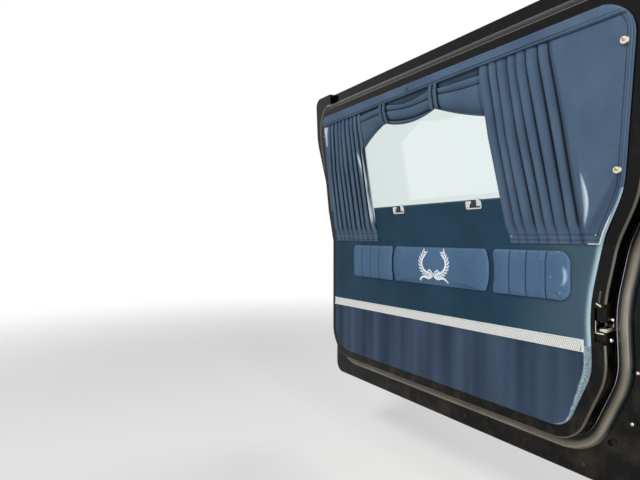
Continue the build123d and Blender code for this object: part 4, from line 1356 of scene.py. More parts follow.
@dataclass
class TrimPanels:
    """The leathercloth board, the carpet below it and the fluted strip between them."""

    finishes: Finishes
    strip_front: float = 312.0
    strip_rear: float = 327.0
    strip_rear_x: float = 1135.0
    strip_half: float = 15.5
    strip_proud: float = 4.0
    depth: float = 8.0
    roll: float = 20.0
    front_roll: float = 9.0
    drop: float = 7.6
    carpet_foot: float = 103.3
    rim: tuple[float, ...] = (0.0, 0.15, 0.6, 1.4, 2.6, 4.2, 6.5, 9.5, 13.0, 17.0, 21.0)

    def strip_line(self, x: np.ndarray) -> np.ndarray:
        """Height of the strip's centre line at x."""
        slope = (self.strip_rear - self.strip_front) / (self.strip_rear_x - 5.0)
        return self.strip_front + slope * (np.asarray(x, float) - 5.0)

    def build_board(self) -> None:
        """Board whose leathercloth is padded and rolled over the edges, with painted highlights on
        the rolled rear and top edges.
        """
        grid = SheetGrid(
            level(SILL_HEIGHT),
            self.strip_line,
            TRIM.span(),
            spaced_rows(400.0, 12.0, self.rim + (44.0, 51.0, 58.0)),
            spaced_columns(1150.0, 14.0, self.rim),
        )
        side = TRIM.distance(grid.x, grid.z)
        top = SILL_HEIGHT - grid.z
        wide = np.where(grid.x > TRIM_MIDDLE, self.roll, self.front_roll)
        upper = rolled_edge(top, self.front_roll, self.drop)
        relief = -np.maximum(rolled_edge(side, wide, self.drop), upper)
        relief += 0.5 * np.sin(grid.x / 170.0) * np.sin(grid.z / 90.0) * smooth(side, 5, 60)
        # Painted highlight on the rolled rear and top edges, and lighter towards the rear.
        rear = smooth(grid.x, 900.0, 1000.0) * (1.0 - smooth(side, 1.0, 12.0))
        worn = 0.75 * rear + 0.4 * (1.0 - smooth(top, 0.5, 5.0))
        worn += 0.1 * smooth(grid.x, 880.0, 1120.0)
        made = grid.surface(
            "board_cover", relief, self.finishes.board, self.depth, marks={Mark.WORN: worn}
        )
        hand_over(made, "vinyl_board", "upper_board")

    def build_carpet(self) -> None:
        """Carpet with its pile rolled over the edge, and a painted highlight on the rolled edge at
        the rear.
        """
        grid = SheetGrid(
            self.strip_line,
            level(self.carpet_foot),
            TRIM.span(),
            spaced_rows(215.0, 8.0, tuple(213.0 - r for r in self.rim)),
            spaced_columns(1100.0, 10.0, self.rim),
        )
        near = TRIM.distance(grid.x, grid.z)
        at_rear = smooth(grid.x, 1040.0, 1075.0)
        wide = 8.0 + 10.0 * at_rear
        limit = 4.0 + 13.0 * smooth(grid.z, 104.0, 290.0)
        # turned: painted highlight on the rolled rear edge.
        turned = at_rear * (1.0 - smooth(near / limit, 0.86, 1.0))
        turned *= 0.55 + 0.45 * ridge(near / limit - 0.8, 0.22)
        made = grid.surface(
            "carpet_pile", 0.5 - rolled_edge(near, wide, self.drop), self.finishes.carpet,
            self.depth, marks={Mark.WORN: turned},
        )
        hand_over(made, "carpet", "carpet_panel")

    def build_strip(self, flutes: GeometryTree) -> None:
        """Strip with rolled long edges, a squared end, a darker floor of dirt and painted shade,
        and slanting flutes.

        Args:
            flutes: The tree that lays ribs.
        """
        half, proud = self.strip_half, self.strip_proud
        edge = [
            (-half, -0.2), (-half, proud - 1.6), (-half + 0.5, proud - 0.6), (-half + 1.5, proud),
            (-half + 2.4, proud), (-half + 2.8, proud - 1.8),
        ]
        section = edge + [(-up, stand) for up, stand in reversed(edge)]
        count, floor = len(section), 5
        stops = (5.0, self.strip_rear_x - 3.5, self.strip_rear_x - 3.5, self.strip_rear_x)
        points = []
        for place, x in enumerate(stops):
            for up, stand in section:
                filled = proud if place > 1 and abs(up) < half - 2.0 else stand
                points.append((x, -filled, float(self.strip_line(x)) + up))
        faces = grid_faces(np.arange(len(points)).reshape(-1, count), ring=True)
        faces += [tuple(range(count)), tuple(range(len(points) - 1, len(points) - count - 1, -1))]
        made = make_object("trim_strip_body", np.array(points), faces, self.finishes.strip)
        # The floor between the ribs is darker: dirt and painted shade.
        made.data.materials.append(self.finishes.groove)
        made.data.polygons[floor].material_index = 1
        face_outwards(made)
        ribs = np.array([
            (x, -(proud - 1.9), float(self.strip_line(x))) for x in (11.0, self.strip_rear_x - 8.0)
        ])
        sizes = input_values(FLUTE_SIZES, (0.0048, 0.0244, 0.009, 0.00165), self.finishes.strip)
        fluting = flutes.grow("trim_strip_flutes", ribs, [(0, 1)], sizes)
        hand_over(made, "bright_strip", "trim_strip")
        hand_over(fluting, "bright_strip")


def corner_inset(reach: np.ndarray, radius: float) -> np.ndarray:
    """How far a corner of that radius draws an edge in, at distances from its end."""
    near = np.clip(radius - reach, 0.0, radius)
    return radius - np.sqrt(np.maximum(radius**2 - near**2, 0.0))


@dataclass
class Pad:
    """One stuffed pad with curved ends and sewn channels."""

    name: str
    front: float
    rear: float
    front_round: float
    rear_round: float
    front_bow: float
    rear_bow: float
    channels: tuple[float, ...]
    scuff: float | None = None
    low: float = 430.0
    high: float = 564.0
    thick: float = 8.2
    most: float = 12.6
    swell: float = 4.6

    def edges(self, z: np.ndarray) -> tuple[np.ndarray, np.ndarray]:
        """Front and rear x at heights z, with bowed ends and rounded corners.

        Args:
            z: Heights in mm.

        Returns:
            Both x in mm.
        """
        middle, half = (self.low + self.high) / 2, (self.high - self.low) / 2
        bow = 1.0 - ((z - middle) / half) ** 2
        reach = half - np.abs(z - middle)
        front = self.front - self.front_bow * bow + corner_inset(reach, self.front_round)
        rear = self.rear + self.rear_bow * bow - corner_inset(reach, self.rear_round)
        return front, rear

    def margin(self, x: np.ndarray, z: np.ndarray) -> np.ndarray:
        """Rough distance in mm from the pad's edge."""
        left, right = self.edges(z)
        return np.minimum(np.minimum(x - left, right - x), np.minimum(z - self.low, self.high - z))

    def shell(self, material: bpy.types.Material) -> bpy.types.Object:
        """Slab with a rounded rim, thinner than the stuffed pad.

        Args:
            material: The pad's material.

        Returns:
            The slab, closed.
        """
        tall = self.high - self.low
        grid = SheetGrid(
            level(self.high - 0.2),
            level(self.low + 0.2),
            self.edges,
            spaced_rows(tall, 5.0, (0.0, 1.0, 2.6, tall - 2.6, tall - 1.0, tall)),
            spaced_columns(self.rear - self.front, 5.0, (0.0, 1.0, 2.6, 5.0, 8.0)),
        )
        relief = self.thick - rolled_edge(self.margin(grid.x, grid.z), 9.0, self.thick)
        return grid.surface(self.name, relief, material, -0.5, 60.0)

    def stuff(self, made: bpy.types.Object) -> None:
        """Swell the pad with a short cloth simulation, and cap how far a point moves.

        Args:
            made: The pad's slab.
        """
        remesh = made.modifiers.new("even_mesh", "REMESH")
        remesh.mode = "VOXEL"
        remesh.voxel_size = 0.004
        finish_modifiers(made)
        before = np.array([v.co for v in made.data.vertices])
        held = made.vertex_groups.new(name="glued_back")
        back = DOOR_ORIGIN[1] - 0.003
        held.add([i for i, p in enumerate(before) if p[1] > back], 1.0, "REPLACE")
        cloth = made.modifiers.new("stuffing", "CLOTH")
        cloth.settings.use_pressure = True
        cloth.settings.uniform_pressure_force = 4.0
        cloth.settings.effector_weights.gravity = 0.0
        cloth.settings.vertex_group_mass = held.name
        cloth.settings.tension_stiffness = 30.0
        scene = bpy.context.scene
        for number in range(1, 21):
            scene.frame_set(number)
        finish_modifiers(made)
        scene.frame_set(1)
        mesh = made.data
        after = np.array([v.co for v in mesh.vertices])
        move = after - before
        far = np.linalg.norm(move, axis=1, keepdims=True)
        cap = self.swell * MM
        after = before + move * np.minimum(1.0, cap / np.maximum(far, 1e-9))
        mesh.vertices.foreach_set("co", after.astype(np.float32).ravel())
        made.vertex_groups.clear()
        finer = made.modifiers.new("finer", "SUBSURF")
        finer.levels = finer.render_levels = 1
        finish_modifiers(made)

    def sew(self, made: bpy.types.Object) -> None:
        """Press the sewn channels into the stuffed pad, and mark painted shade in them and round
        the rim and painted highlights on the rim and the crescent.

        Args:
            made: The stuffed pad.
        """
        mesh = made.data
        points = (np.array([v.co for v in mesh.vertices]) - DOOR_ORIGIN) / MM
        x, z = points[:, 0], points[:, 2]
        proud = smooth(-points[:, 1], 3.0, 7.5)
        margin = self.margin(x, z)
        # Painted shade: dark rim where the pad meets the trim, and in the channels.
        drop, hollow = np.zeros(len(points)), 0.75 * (1.0 - smooth(-points[:, 1], 0.5, 5.0))
        for seam in self.channels:
            away = x - seam
            drop += 3.4 * ridge(away, 1.9) - 0.9 * ridge(np.abs(away) - 16.0, 9.0)
            hollow += 0.7 * ridge(away, 1.9)
        # Painted highlight: a lighter band just inside the rim.
        worn = 0.1 * (1.0 - smooth(np.abs(margin - 5.0), 0.0, 6.0))
        worn *= smooth(z, self.low, self.high - 4.0)
        # The crescent is a shallow dent with a painted highlight.
        if self.scuff is not None:
            above = z - (self.low + self.high) / 2
            bow = self.scuff - 8.0 * (above / 30.0) ** 2
            crescent = ridge(x - bow, 4.0) * (1.0 - smooth(np.abs(above), 8.0, 30.0))
            drop -= 1.2 * crescent
            worn += 0.95 * crescent
        points[:, 1] += drop * proud
        points[:, 1] = np.clip(points[:, 1], -self.most, -0.4)
        mesh.vertices.foreach_set("co", to_frame(points).astype(np.float32).ravel())
        put_marks(mesh, {Mark.HOLLOW: hollow, Mark.WORN: worn * proud})
        mesh.shade_smooth()
        mesh.update()

    def build(self, material: bpy.types.Material) -> bpy.types.Object:
        """Build, stuff and sew the pad.

        Args:
            material: The pad's material.

        Returns:
            The pad.
        """
        made = self.shell(material)
        self.stuff(made)
        made.data.materials.clear()
        made.data.materials.append(material)
        self.sew(made)
        hand_over(made, "pad_vinyl", self.name.replace("_stuffed", ""), "stuffed")
        return made


@dataclass
class PadRow:
    """The three pads on the board, with their stitching."""

    finishes: Finishes

    def pads(self) -> list[Pad]:
        """The sizes of the three pads.

        Returns:
            The pads from front to rear.
        """
        return [
            Pad("pad_front_stuffed", 153.0, 411.0, 22.0, 14.0, 0.0, -7.0, (219.0, 275.0, 330.0)),
            Pad("pad_centre_stuffed", 425.0, 837.0, 8.0, 8.0, 16.0, 16.0, ()),
            Pad("pad_rear_stuffed", 858.0, 1104.0, 18.0, 36.0, -9.0, 0.0,
                (924.0, 978.0, 1037.0), scuff=1091.0),
        ]

    def build(self, stitches: GeometryTree) -> list[bpy.types.Object]:
        """Build the pads and sew their channels.

        Args:
            stitches: The tree that sews.

        Returns:
            The pads, from the front to the rear.
        """
        sizes = input_values(STITCH_SIZES, (0.0045, 0.0034, 0.00035), self.finishes.thread)
        made = []
        for pad in self.pads():
            piece = pad.build(self.finishes.pad)
            made.append(piece)
            up = np.linspace(pad.low + 5, pad.high - 5, 60)
            lines = [np.stack((np.full(60, x), up), axis=1) for x in pad.channels]
            if lines:
                sewn = stitches.grow(f"{pad.name}_stitches", *Touch(piece).host(lines, 0.1), sizes)
                hand_over(sewn, "pad_vinyl", verb="sewed")
        return made


@dataclass
class Wreath:
    """Laurel wreath in silver thread: two upright branches, open above, tied with a bow."""

    finishes: Finishes
    x: float = 628.0
    foot: float = 441.0
    branch: tuple[tuple[float, float], ...] = (
        (7.0, 26.0), (26.0, 28.0), (44.0, 36.0), (56.0, 50.0), (60.0, 66.0), (57.0, 80.0),
        (50.0, 91.0), (45.0, 99.0),
    )
    bow: tuple[tuple[float, tuple[tuple[float, float], ...]], ...] = (
        (4.6, ((0, 27), (9, 38), (19, 44), (25, 38), (20, 30), (9, 27), (0, 26))),
        (7.0, ((2, 27), (11, 19), (23, 15), (36, 18), (48, 19), (57, 14), (63, 8))),
    )
    leaf_long: float = 20.0
    leaf_half: float = 3.0

    def leaf(self) -> bpy.types.Object:
        """A pointed, slightly domed leaf in the plane of x and z, its foot at the origin.

        Returns:
            The leaf, outside the scene.
        """
        high, count = 0.8, 6
        points = [(0.0, 0.0, 0.0)]
        for k in range(1, count):
            t = k / count
            half = self.leaf_half * math.sin(math.pi * t**0.8)
            along = self.leaf_long * t
            points += [(along, 0.0, -half), (along, -high, 0.0), (along, 0.0, half)]
        points.append((self.leaf_long, 0.0, 0.0))
        faces: list[tuple[int, ...]] = [(0, 2, 1), (0, 3, 2)]
        for k in range(count - 2):
            a = 1 + 3 * k
            faces += [(a, a + 1, a + 4, a + 3), (a + 1, a + 2, a + 5, a + 4)]
        last = len(points) - 1
        faces += [(last - 3, last - 2, last), (last - 2, last - 1, last)]
        mesh = bpy.data.meshes.new("laurel_leaf_pattern")
        mesh.from_pydata([(x * MM, y * MM, z * MM) for x, y, z in points], [], faces)
        return bpy.data.objects.new("laurel_leaf_pattern", mesh)

    def ribbon(self) -> tuple[np.ndarray, list[tuple[int, ...]]]:
        """The bow's bands with notched ends, three points across, in the wreath's own mm.

        Returns:
            Points of x and z, and faces.
        """
        points: list[np.ndarray] = []
        faces: list[tuple[int, ...]] = []
        for width, line in self.bow:
            for side in (-1.0, 1.0):
                stops = [(i, side * u, v) for i, (u, v) in enumerate(line)]
                fine = np.linspace(0, len(line) - 1, 9 * (len(line) - 1) + 1)
                path = np.stack(curve_through(stops, fine), axis=1)
                way = np.gradient(path, axis=0)
                way /= np.maximum(np.linalg.norm(way, axis=1, keepdims=True), 1e-9)
                across = np.stack((-way[:, 1], way[:, 0]), axis=1) * width / 2
                rows = [(p - s, p, p + s) for p, s in zip(path, across)]
                if width > 5.0:
                    tip = way[-1] * 6.0
                    p, s = path[-1], across[-1]
                    rows.append((p - 1.25 * s + tip, p + 0.1 * tip, p + 1.25 * s + tip))
                first = sum(len(p) for p in points)
                points.append(np.array(rows).reshape(-1, 2))
                faces += grid_faces(first + np.arange(3 * len(rows)).reshape(-1, 3), flip=True)
        return np.concatenate(points), faces

    def build(self, pad: bpy.types.Object, leaves: GeometryTree) -> None:
        """Lay the branches and the ribbon on the pad.

        Args:
            pad: The pad that carries them.
            leaves: The tree that sets leaves.
        """
        touch, silver = Touch(pad), self.finishes.silver
        lines = []
        for side in (-1.0, 1.0):
            stops = [(i, side * u, v) for i, (u, v) in enumerate(self.branch)]
            line = np.stack(curve_through(stops, np.linspace(0, len(stops) - 1, 43)), axis=1)
            lines.append(line + (self.x, self.foot))
        values = {"Leaf": self.leaf(), "Leaf Pitch": 0.0098, "Spread": 0.62, "Material": silver}
        branch = leaves.grow("wreath_leaves", *touch.host(lines, 0.5), values)
        flat, faces = self.ribbon()
        laid = touch.drop(flat + (self.x, self.foot), 0.9)
        for piece in (branch, make_object("wreath_ribbon", laid, faces, silver)):
            hand_over(piece, "chrome", verb="embroidered")


class Fold(Enum):
    """Sections of one fold: rows of place along it, share of its width, and relief in mm.

    A fold starts at its lit lip and falls back into the shade under the next one's lip.
    """

    LIP = (
        (0.0, 0.0, 1.3), (0.015, 0.0, 3.4), (0.04, -0.03, 6.0), (0.08, -0.03, 8.3),
        (0.15, 0.06, 9.7), (0.3, 0.26, 9.8), (0.5, 0.5, 8.7), (0.7, 0.74, 6.6),
        (0.86, 0.9, 3.8), (0.96, 0.975, 1.8), (1.0, 1.0, 1.3),
    )
    ROUND = (
        (0.0, 0.0, 1.3), (0.1, 0.14, 1.4), (0.18, 0.225, 2.8), (0.26, 0.25, 5.6),
        (0.36, 0.33, 8.8), (0.5, 0.5, 10.2), (0.62, 0.68, 9.4), (0.73, 0.79, 6.8),
        (0.82, 0.84, 3.6), (0.9, 0.89, 1.7), (1.0, 1.0, 1.3),
    )

    def run(self, place: np.ndarray) -> list[np.ndarray]:
        """Share of the fold's width, and relief, at places from 0 to 1 along it."""
        return curve_through(self.value, place)

    def shade(self, place: np.ndarray, gape: np.ndarray | float) -> np.ndarray:
        """How much painted shade the fold gets at places along it; gape from 0 to 1 widens the
        dark gap.

        Args:
            place: Places from 0 to 1.
            gape: How far the fold gapes, 0 to 1.

        Returns:
            The painted shade, from 0 to about 1.
        """
        if self is Fold.LIP:
            gap = smooth(place, 0.72 - 0.14 * gape, 0.88 - 0.1 * gape)
            return 0.42 * smooth(place, 0.25, 0.8) + 0.6 * gap
        near = np.minimum(place, 1.0 - place)
        return 1.0 - smooth(near, 0.08 + 0.07 * gape, 0.25 + 0.05 * gape)


@dataclass
class Drape:
    """A pleated curtain that hangs from the header seam, sewn into a hem below."""

    name: str
    node: str
    widths: tuple[tuple[float, float], ...]
    pleats: int
    fold: Fold
    gape: tuple[float, float]
    fullness: float
    bottom: float = HEM_BOTTOM
    hem: tuple[float, float] = HEM_SEAMS
    # sunlit: painted sunlight on pleats, from x and height at the top, x and height at the bottom,
    # and half width; shadow_lines: painted shadow lines, from x, top, bottom and half width.
    sunlit: tuple[tuple[float, float, float, float, float], ...] = ()
    shadow_lines: tuple[tuple[float, float, float, float], ...] = ()

    def span(self, z: np.ndarray) -> tuple[np.ndarray, np.ndarray]:
        """Front and rear x of the curtain at heights z."""
        return drape_edge(self.widths, 0, z), drape_edge(self.widths, 1, z)

    def build(self, material: bpy.types.Material) -> None:
        """Build the curtain with its pleats and hem.

        Args:
            material: The curtain's material.
        """
        steps = 24
        place = np.arange(self.pleats * steps + 1)
        index = np.minimum(place // steps, self.pleats - 1)
        along = place / steps - index
        share, section = self.fold.run(along)
        starts = np.arange(self.pleats + 1) + 0.09 * np.sin(np.arange(self.pleats + 1) * 2.4)
        starts[0], starts[-1] = 0.0, self.pleats
        across = (starts[index] + share * (starts[index + 1] - starts[index])) / self.pleats
        height = float(seam_height(TRIM_MIDDLE)) - self.bottom
        hem_rows = [height - h + d for h in self.hem for d in (-2.0, -1.0, 0.0, 1.0, 2.0)]
        grid = SheetGrid(
            below_seam,
            level(self.bottom + SEAM_GAP),
            self.span,
            spaced_rows(height, 9.0, hem_rows + [height - 1.0, height - 3.0]),
            np.stack((across, np.zeros_like(across)), axis=1),
        )
        below = seam_height(grid.x) - grid.z
        down = below / height
        above_hem = smooth(grid.z, self.bottom + self.hem[0], self.bottom + 60.0)
        from_seam = smooth(below, 0.0, 60.0)
        wide = np.interp(index, (0, self.pleats - 1), self.gape)[None, :]
        loose = 1.0 + 0.1 * np.sin(index * 1.7 + 1.0)[None, :] * above_hem
        amount = (0.3 + 0.7 * above_hem) * (0.62 + 0.38 * from_seam) * loose
        relief = FLAT_STAND + (section[None, :] - FLAT_STAND) * amount
        relief += 0.5 * np.sin(index * 1.9 + down * 6.0) * above_hem * smooth(section, 3, 8)
        # Painted shade in the folds, widest half way down.
        middle = ridge(grid.z - 790.0, 170.0)
        hollow = self.fold.shade(along[None, :], wide * middle)
        hollow = hollow * (0.3 + 0.7 * above_hem) * (0.9 + 0.1 * from_seam)
        for line in self.hem:
            seam = ridge(grid.z - (self.bottom + line), 1.3)
            relief -= 0.8 * seam
            hollow = hollow + 0.55 * seam
        # Painted shade under the header seam.
        hollow = hollow + 0.4 * (1.0 - smooth(below, 1.0, 7.0))
        # Painted sunlight on the pleats.
        faded = np.zeros_like(grid.x)
        for x_top, top, x_low, low, half in self.sunlit:
            t = (top - grid.z) / (top - low)
            on = ridge(grid.x - x_top - (x_low - x_top) * t, half * (0.5 + t))
            on = on * smooth(t, 0.0, 0.2) * (1.0 - smooth(t, 0.8, 1.0))
            rim = np.full_like(section, x_top > self.widths[0][1] - 4.0)
            faded += on * np.maximum(rim, smooth(section, 4, 7))
        # Painted shadow lines.
        for shadow_x, top, low, half in self.shadow_lines:
            hollow = hollow + 1.6 * ridge(grid.x - shadow_x, half) * smooth(
                np.minimum(top - grid.z, grid.z - low), 0.0, 25.0
            )
        hollow = np.clip(hollow, 0.0, 1.0) * (1.0 - np.clip(faded, 0.0, 1.0))
        border = np.zeros(len(place), bool)
        border[[0, -1]] = True
        relief = np.clip(np.where(border, 2.0, relief), 0.9, 11.6)
        sway = 1.4 * np.sin(down * 5.0 + index * 0.9) * above_hem * from_seam
        grid.x = grid.x + np.where(border, 0.0, sway * smooth(section, 2, 6))
        made = thicken(
            grid.surface(
                self.name, relief, material, sharp=75.0,
                marks={Mark.HOLLOW: 0.95 * hollow, Mark.WORN: 0.95 * faded},
            ),
            0.8,
        )
        hand_over(made, "drape_fabric", self.node, "hung")


@dataclass
class HeaderBand:
    """Flat cloth band along the top of the window, with a welted seam below."""

    finishes: Finishes
    stand: float = 10.6
    top: float = HEADER_TOP
    tack: tuple[tuple[tuple[float, float], ...], ...] = (
        ((585.0, 1085.0), (597.0, 1095.0)), ((585.0, 1095.0), (597.0, 1085.0)),
    )

    def build(self, stitches: GeometryTree) -> None:
        """Build the band and the small crossed tack in its middle.

        Args:
            stitches: The tree that sews.
        """
        tall = self.top - float(seam_height(TRIM_MIDDLE))
        grid = SheetGrid(
            level(self.top - SEAM_GAP),
            lambda x: seam_height(x) - 0.6,
            TRIM.span(-0.5),
            spaced_rows(tall, 1.0, (0.0, 0.4, 1.2, tall - 1.2, tall - 0.4)),
            spaced_columns(1240.0, 12.0, (0.0, 0.5, 1.5, 3.0, 6.0)),
        )
        near = TRIM.distance(grid.x, grid.z, -0.5)
        up = grid.z - seam_height(grid.x)
        relief = self.stand - rolled_edge(near, 6.0)
        relief += 0.9 * ridge(up - 2.2, 2.0) - 1.6 * ridge(up - 6.2, 1.4)
        relief -= 3.4 * smooth(-up, -1.2, 0.6)
        relief += 0.35 * np.sin(grid.x / 31.0) * smooth(near, 3, 12)
        # Painted shade along the seam welt and under the band, less at the rear.
        hollow = 0.75 * ridge(up - 6.2, 1.5) + 0.6 * smooth(-up, -0.8, 0.4)
        hollow = hollow * (1.0 - 0.7 * smooth(grid.x, 1080.0, 1170.0))
        made = grid.surface(
            "header_band", relief, self.finishes.cloth, -0.4, marks={Mark.HOLLOW: hollow}
        )
        hand_over(made, "drape_fabric", "drape_header", "stretched")
        sizes = input_values(STITCH_SIZES, (0.004, 0.006, 0.0011), self.finishes.thread)
        tack = stitches.grow("header_tack_thread", *Touch(made).host(self.tack, 0.8), sizes)
        hand_over(tack, "drape_fabric", verb="sewed")


@dataclass
class Swag:
    """One looped part of the valance.

    levels gives, at its front, middle and rear, the shares of its height at which the flat
    part, the roll and the band end; below them hangs the lip.
    """

    front: float
    rear: float
    front_low: float
    rear_low: float
    sag: float
    lip: float
    levels: tuple[tuple[float, float, float], ...]


@dataclass
class Valance:
    """Three swags gathered by two double tabs."""

    finishes: Finishes
    tuck: float = 4.0
    tabs: tuple[tuple[float, float], ...] = ((455.0, 9.0), (707.0, -2.0))
    tab_foot: float = 999.0
    tube_offset: float = 10.2
    tube_half: float = 7.9
    swags: tuple[Swag, ...] = (
        Swag(297.0, 456.0, 925.0, 1004.0, -8.0, 0.2,
             ((0.11, 0.28, 0.97), (0.12, 0.38, 0.97), (0.14, 0.47, 0.97))),
        Swag(456.0, 702.0, 1004.0, 1002.0, 20.0, 1.0,
             ((0.10, 0.42, 0.85), (0.30, 0.49, 0.89), (0.17, 0.53, 0.97))),
        Swag(702.0, 896.0, 1002.0, 938.0, 5.0, 0.2,
             ((0.22, 0.46, 0.97), (0.20, 0.42, 0.97), (0.18, 0.36, 0.97))),
    )

    def edge(self, x: np.ndarray) -> np.ndarray:
        """Height of the lower edge at x.

        Args:
            x: Places in mm.

        Returns:
            Heights in mm.
        """
        low = np.full_like(x, self.swags[0].front_low)
        for swag in self.swags:
            t = np.clip((x - swag.front) / (swag.rear - swag.front), 0.0, 1.0)
            here = swag.front_low + (swag.rear_low - swag.front_low) * t
            here = here - swag.sag * 4.0 * t * (1.0 - t)
            low = np.where(x >= swag.front, here, low)
        return low

    def build(self) -> None:
        """Build the folded cloth as one sheet, fold below fold."""
        zones = (9, 26, 30, 16)
        rows = sum(zones) + 1
        grid = SheetGrid(
            below_seam,
            self.edge,
            lambda z: (
                drape_edge(DRAPE_FRONT, 1, z) - self.tuck,
                drape_edge(DRAPE_REAR, 0, z) + self.tuck,
            ),
            np.linspace(0.0, 1.0, rows),
            np.stack((np.linspace(0, 1, 301), np.zeros(301)), axis=1),
        )
        x = grid.x[rows // 2][None, :]
        levels = np.zeros((5, 1, x.shape[1]))
        levels[4] = 1.0
        lip, pull = np.ones_like(x), np.ones_like(x)
        for swag in self.swags:
            inside = (x >= swag.front) if swag is not self.swags[0] else (x >= 0.0)
            t = np.clip((x - swag.front) / (swag.rear - swag.front), 0.0, 1.0)
            rise = curve_through([(s, *row) for s, row in zip((0.0, 0.5, 1.0), swag.levels)], t)
            for k, value in enumerate(rise):
                levels[k + 1] = np.where(inside, value, levels[k + 1])
            lip = np.where(inside, swag.lip, lip)
            knot = 1.0 - 0.4 * np.exp(-((np.minimum(t, 1 - t) * 9.0) ** 2))
            pull = np.where(inside, knot, pull)
        share, relief, hollow = [], [], []
        for k, count in enumerate(zones):
            s = np.linspace(0.0, 1.0, count, endpoint=k == 3)[:, None] + 0.0 * x
            if k == 3:
                s = np.linspace(0.0, 1.0, count + 1)[:, None] + 0.0 * x
            top, low = levels[k], levels[k + 1]
            along, stand = Fold.LIP.run(s) if k else (s, FLAT_STAND + 0.0 * s)
            force = lip * 0.75 if k == 3 else 0.92
            stand = FLAT_STAND + 0.1 + (stand - FLAT_STAND) * pull * force
            share.append(top + along * (low - top))
            relief.append(stand)
            # Painted shade under each fold's lip and in the flat part above.
            deep = Fold.LIP.shade(s, 0.5) if k else 0.55 + 0.4 * s**2
            if k == 2:
                deep = deep * (0.3 + 0.7 * lip)
            hollow.append(deep * (1.0 if k < 3 else 0.3))
        down, stand, dark = (np.concatenate(rows_of) for rows_of in (share, relief, hollow))
        first, last = self.swags[0].front, self.swags[-1].rear
        weight = np.sin(np.pi * np.clip((x - first) / (last - first), 0, 1))
        stand = stand + 0.35 * np.sin(21.0 * down + x / 23.0) * weight * smooth(stand, 3, 6)
        hem = x - last + 16.5
        stand = stand + 1.1 * ridge(hem - 4.5, 1.8) - 0.9 * ridge(hem, 1.4)
        # Painted shade at the hem and round the tabs.
        dark = dark + 0.6 * ridge(hem, 1.5)
        for centre, slant in self.tabs:
            t = np.clip(down * 1.1, 0.0, 1.0)
            away = np.abs(x - centre - slant * t**2) - 18.0
            dark = dark + 0.85 * smooth(away, -5.0, -1.0) * (1.0 - smooth(away, 0.5, 6.5))
        hidden = (x < drape_edge(DRAPE_FRONT, 1, grid.z)) | (x > drape_edge(DRAPE_REAR, 0, grid.z))
        stand = np.where(hidden, 1.0, np.clip(stand, 0.9, 9.7))
        bottom = self.edge(grid.x)
        seam = below_seam(grid.x)
        grid.z = seam + down * (bottom - seam)
        made = thicken(
            grid.surface(
                "valance_swags", stand, self.finishes.cloth, sharp=80.0,
                marks={Mark.HOLLOW: 0.85 * dark},
            ),
            0.7,
        )
        hand_over(made, "drape_fabric", "valance", "looped")

    def build_tabs(self) -> None:
        """Two double tabs that bulge over the folds and tuck in below."""
        points: list[np.ndarray] = []
        faces: list[tuple[int, ...]] = []
        marks: list[np.ndarray] = []
        across, along = 9, 30
        for centre, slant in self.tabs:
            for side in (-self.tube_offset, self.tube_offset):
                t = np.linspace(0.0, 1.0, along)[:, None]
                w = np.linspace(-1.0, 1.0, across)[None, :]
                x = centre + side + self.tube_half * w + slant * t**2 + 0.0 * t
                top = float(seam_height(centre)) - 0.5
                z = top + t * (self.tab_foot - top) + 0.0 * w
                bulge = 10.9 + 3.9 * np.sin(np.pi * t) ** 0.5 - 1.6 * smooth(t, 0.86, 1.0)
                relief = bulge - 2.2 * np.abs(w) ** 3 - 1.0 * ridge(w, 0.14)
                y = trim_y(z) - relief
                block = np.stack((x, y, z + 0.0 * x), axis=2)
                start = sum(len(p) for p in points)
                number = start + np.arange(along * across).reshape(along, across)
                points.append(block.reshape(-1, 3))
                # Painted shade at the tab edges and along the centre.
                marks.append((1.1 * np.abs(w) ** 4 + 0.45 * ridge(w, 0.14) + 0.0 * t).ravel())
                faces += grid_faces(number, flip=True)
        every = np.concatenate(points)
        made = make_object(
            "valance_double_tabs", every, faces, self.finishes.cloth, every[:, (0, 2)] * MM,
            sharp=80.0, marks={Mark.HOLLOW: np.concatenate(marks)},
        )
        made = thicken(made, 1.4)
        hand_over(made, "drape_fabric", "valance_tabs", "sewed")


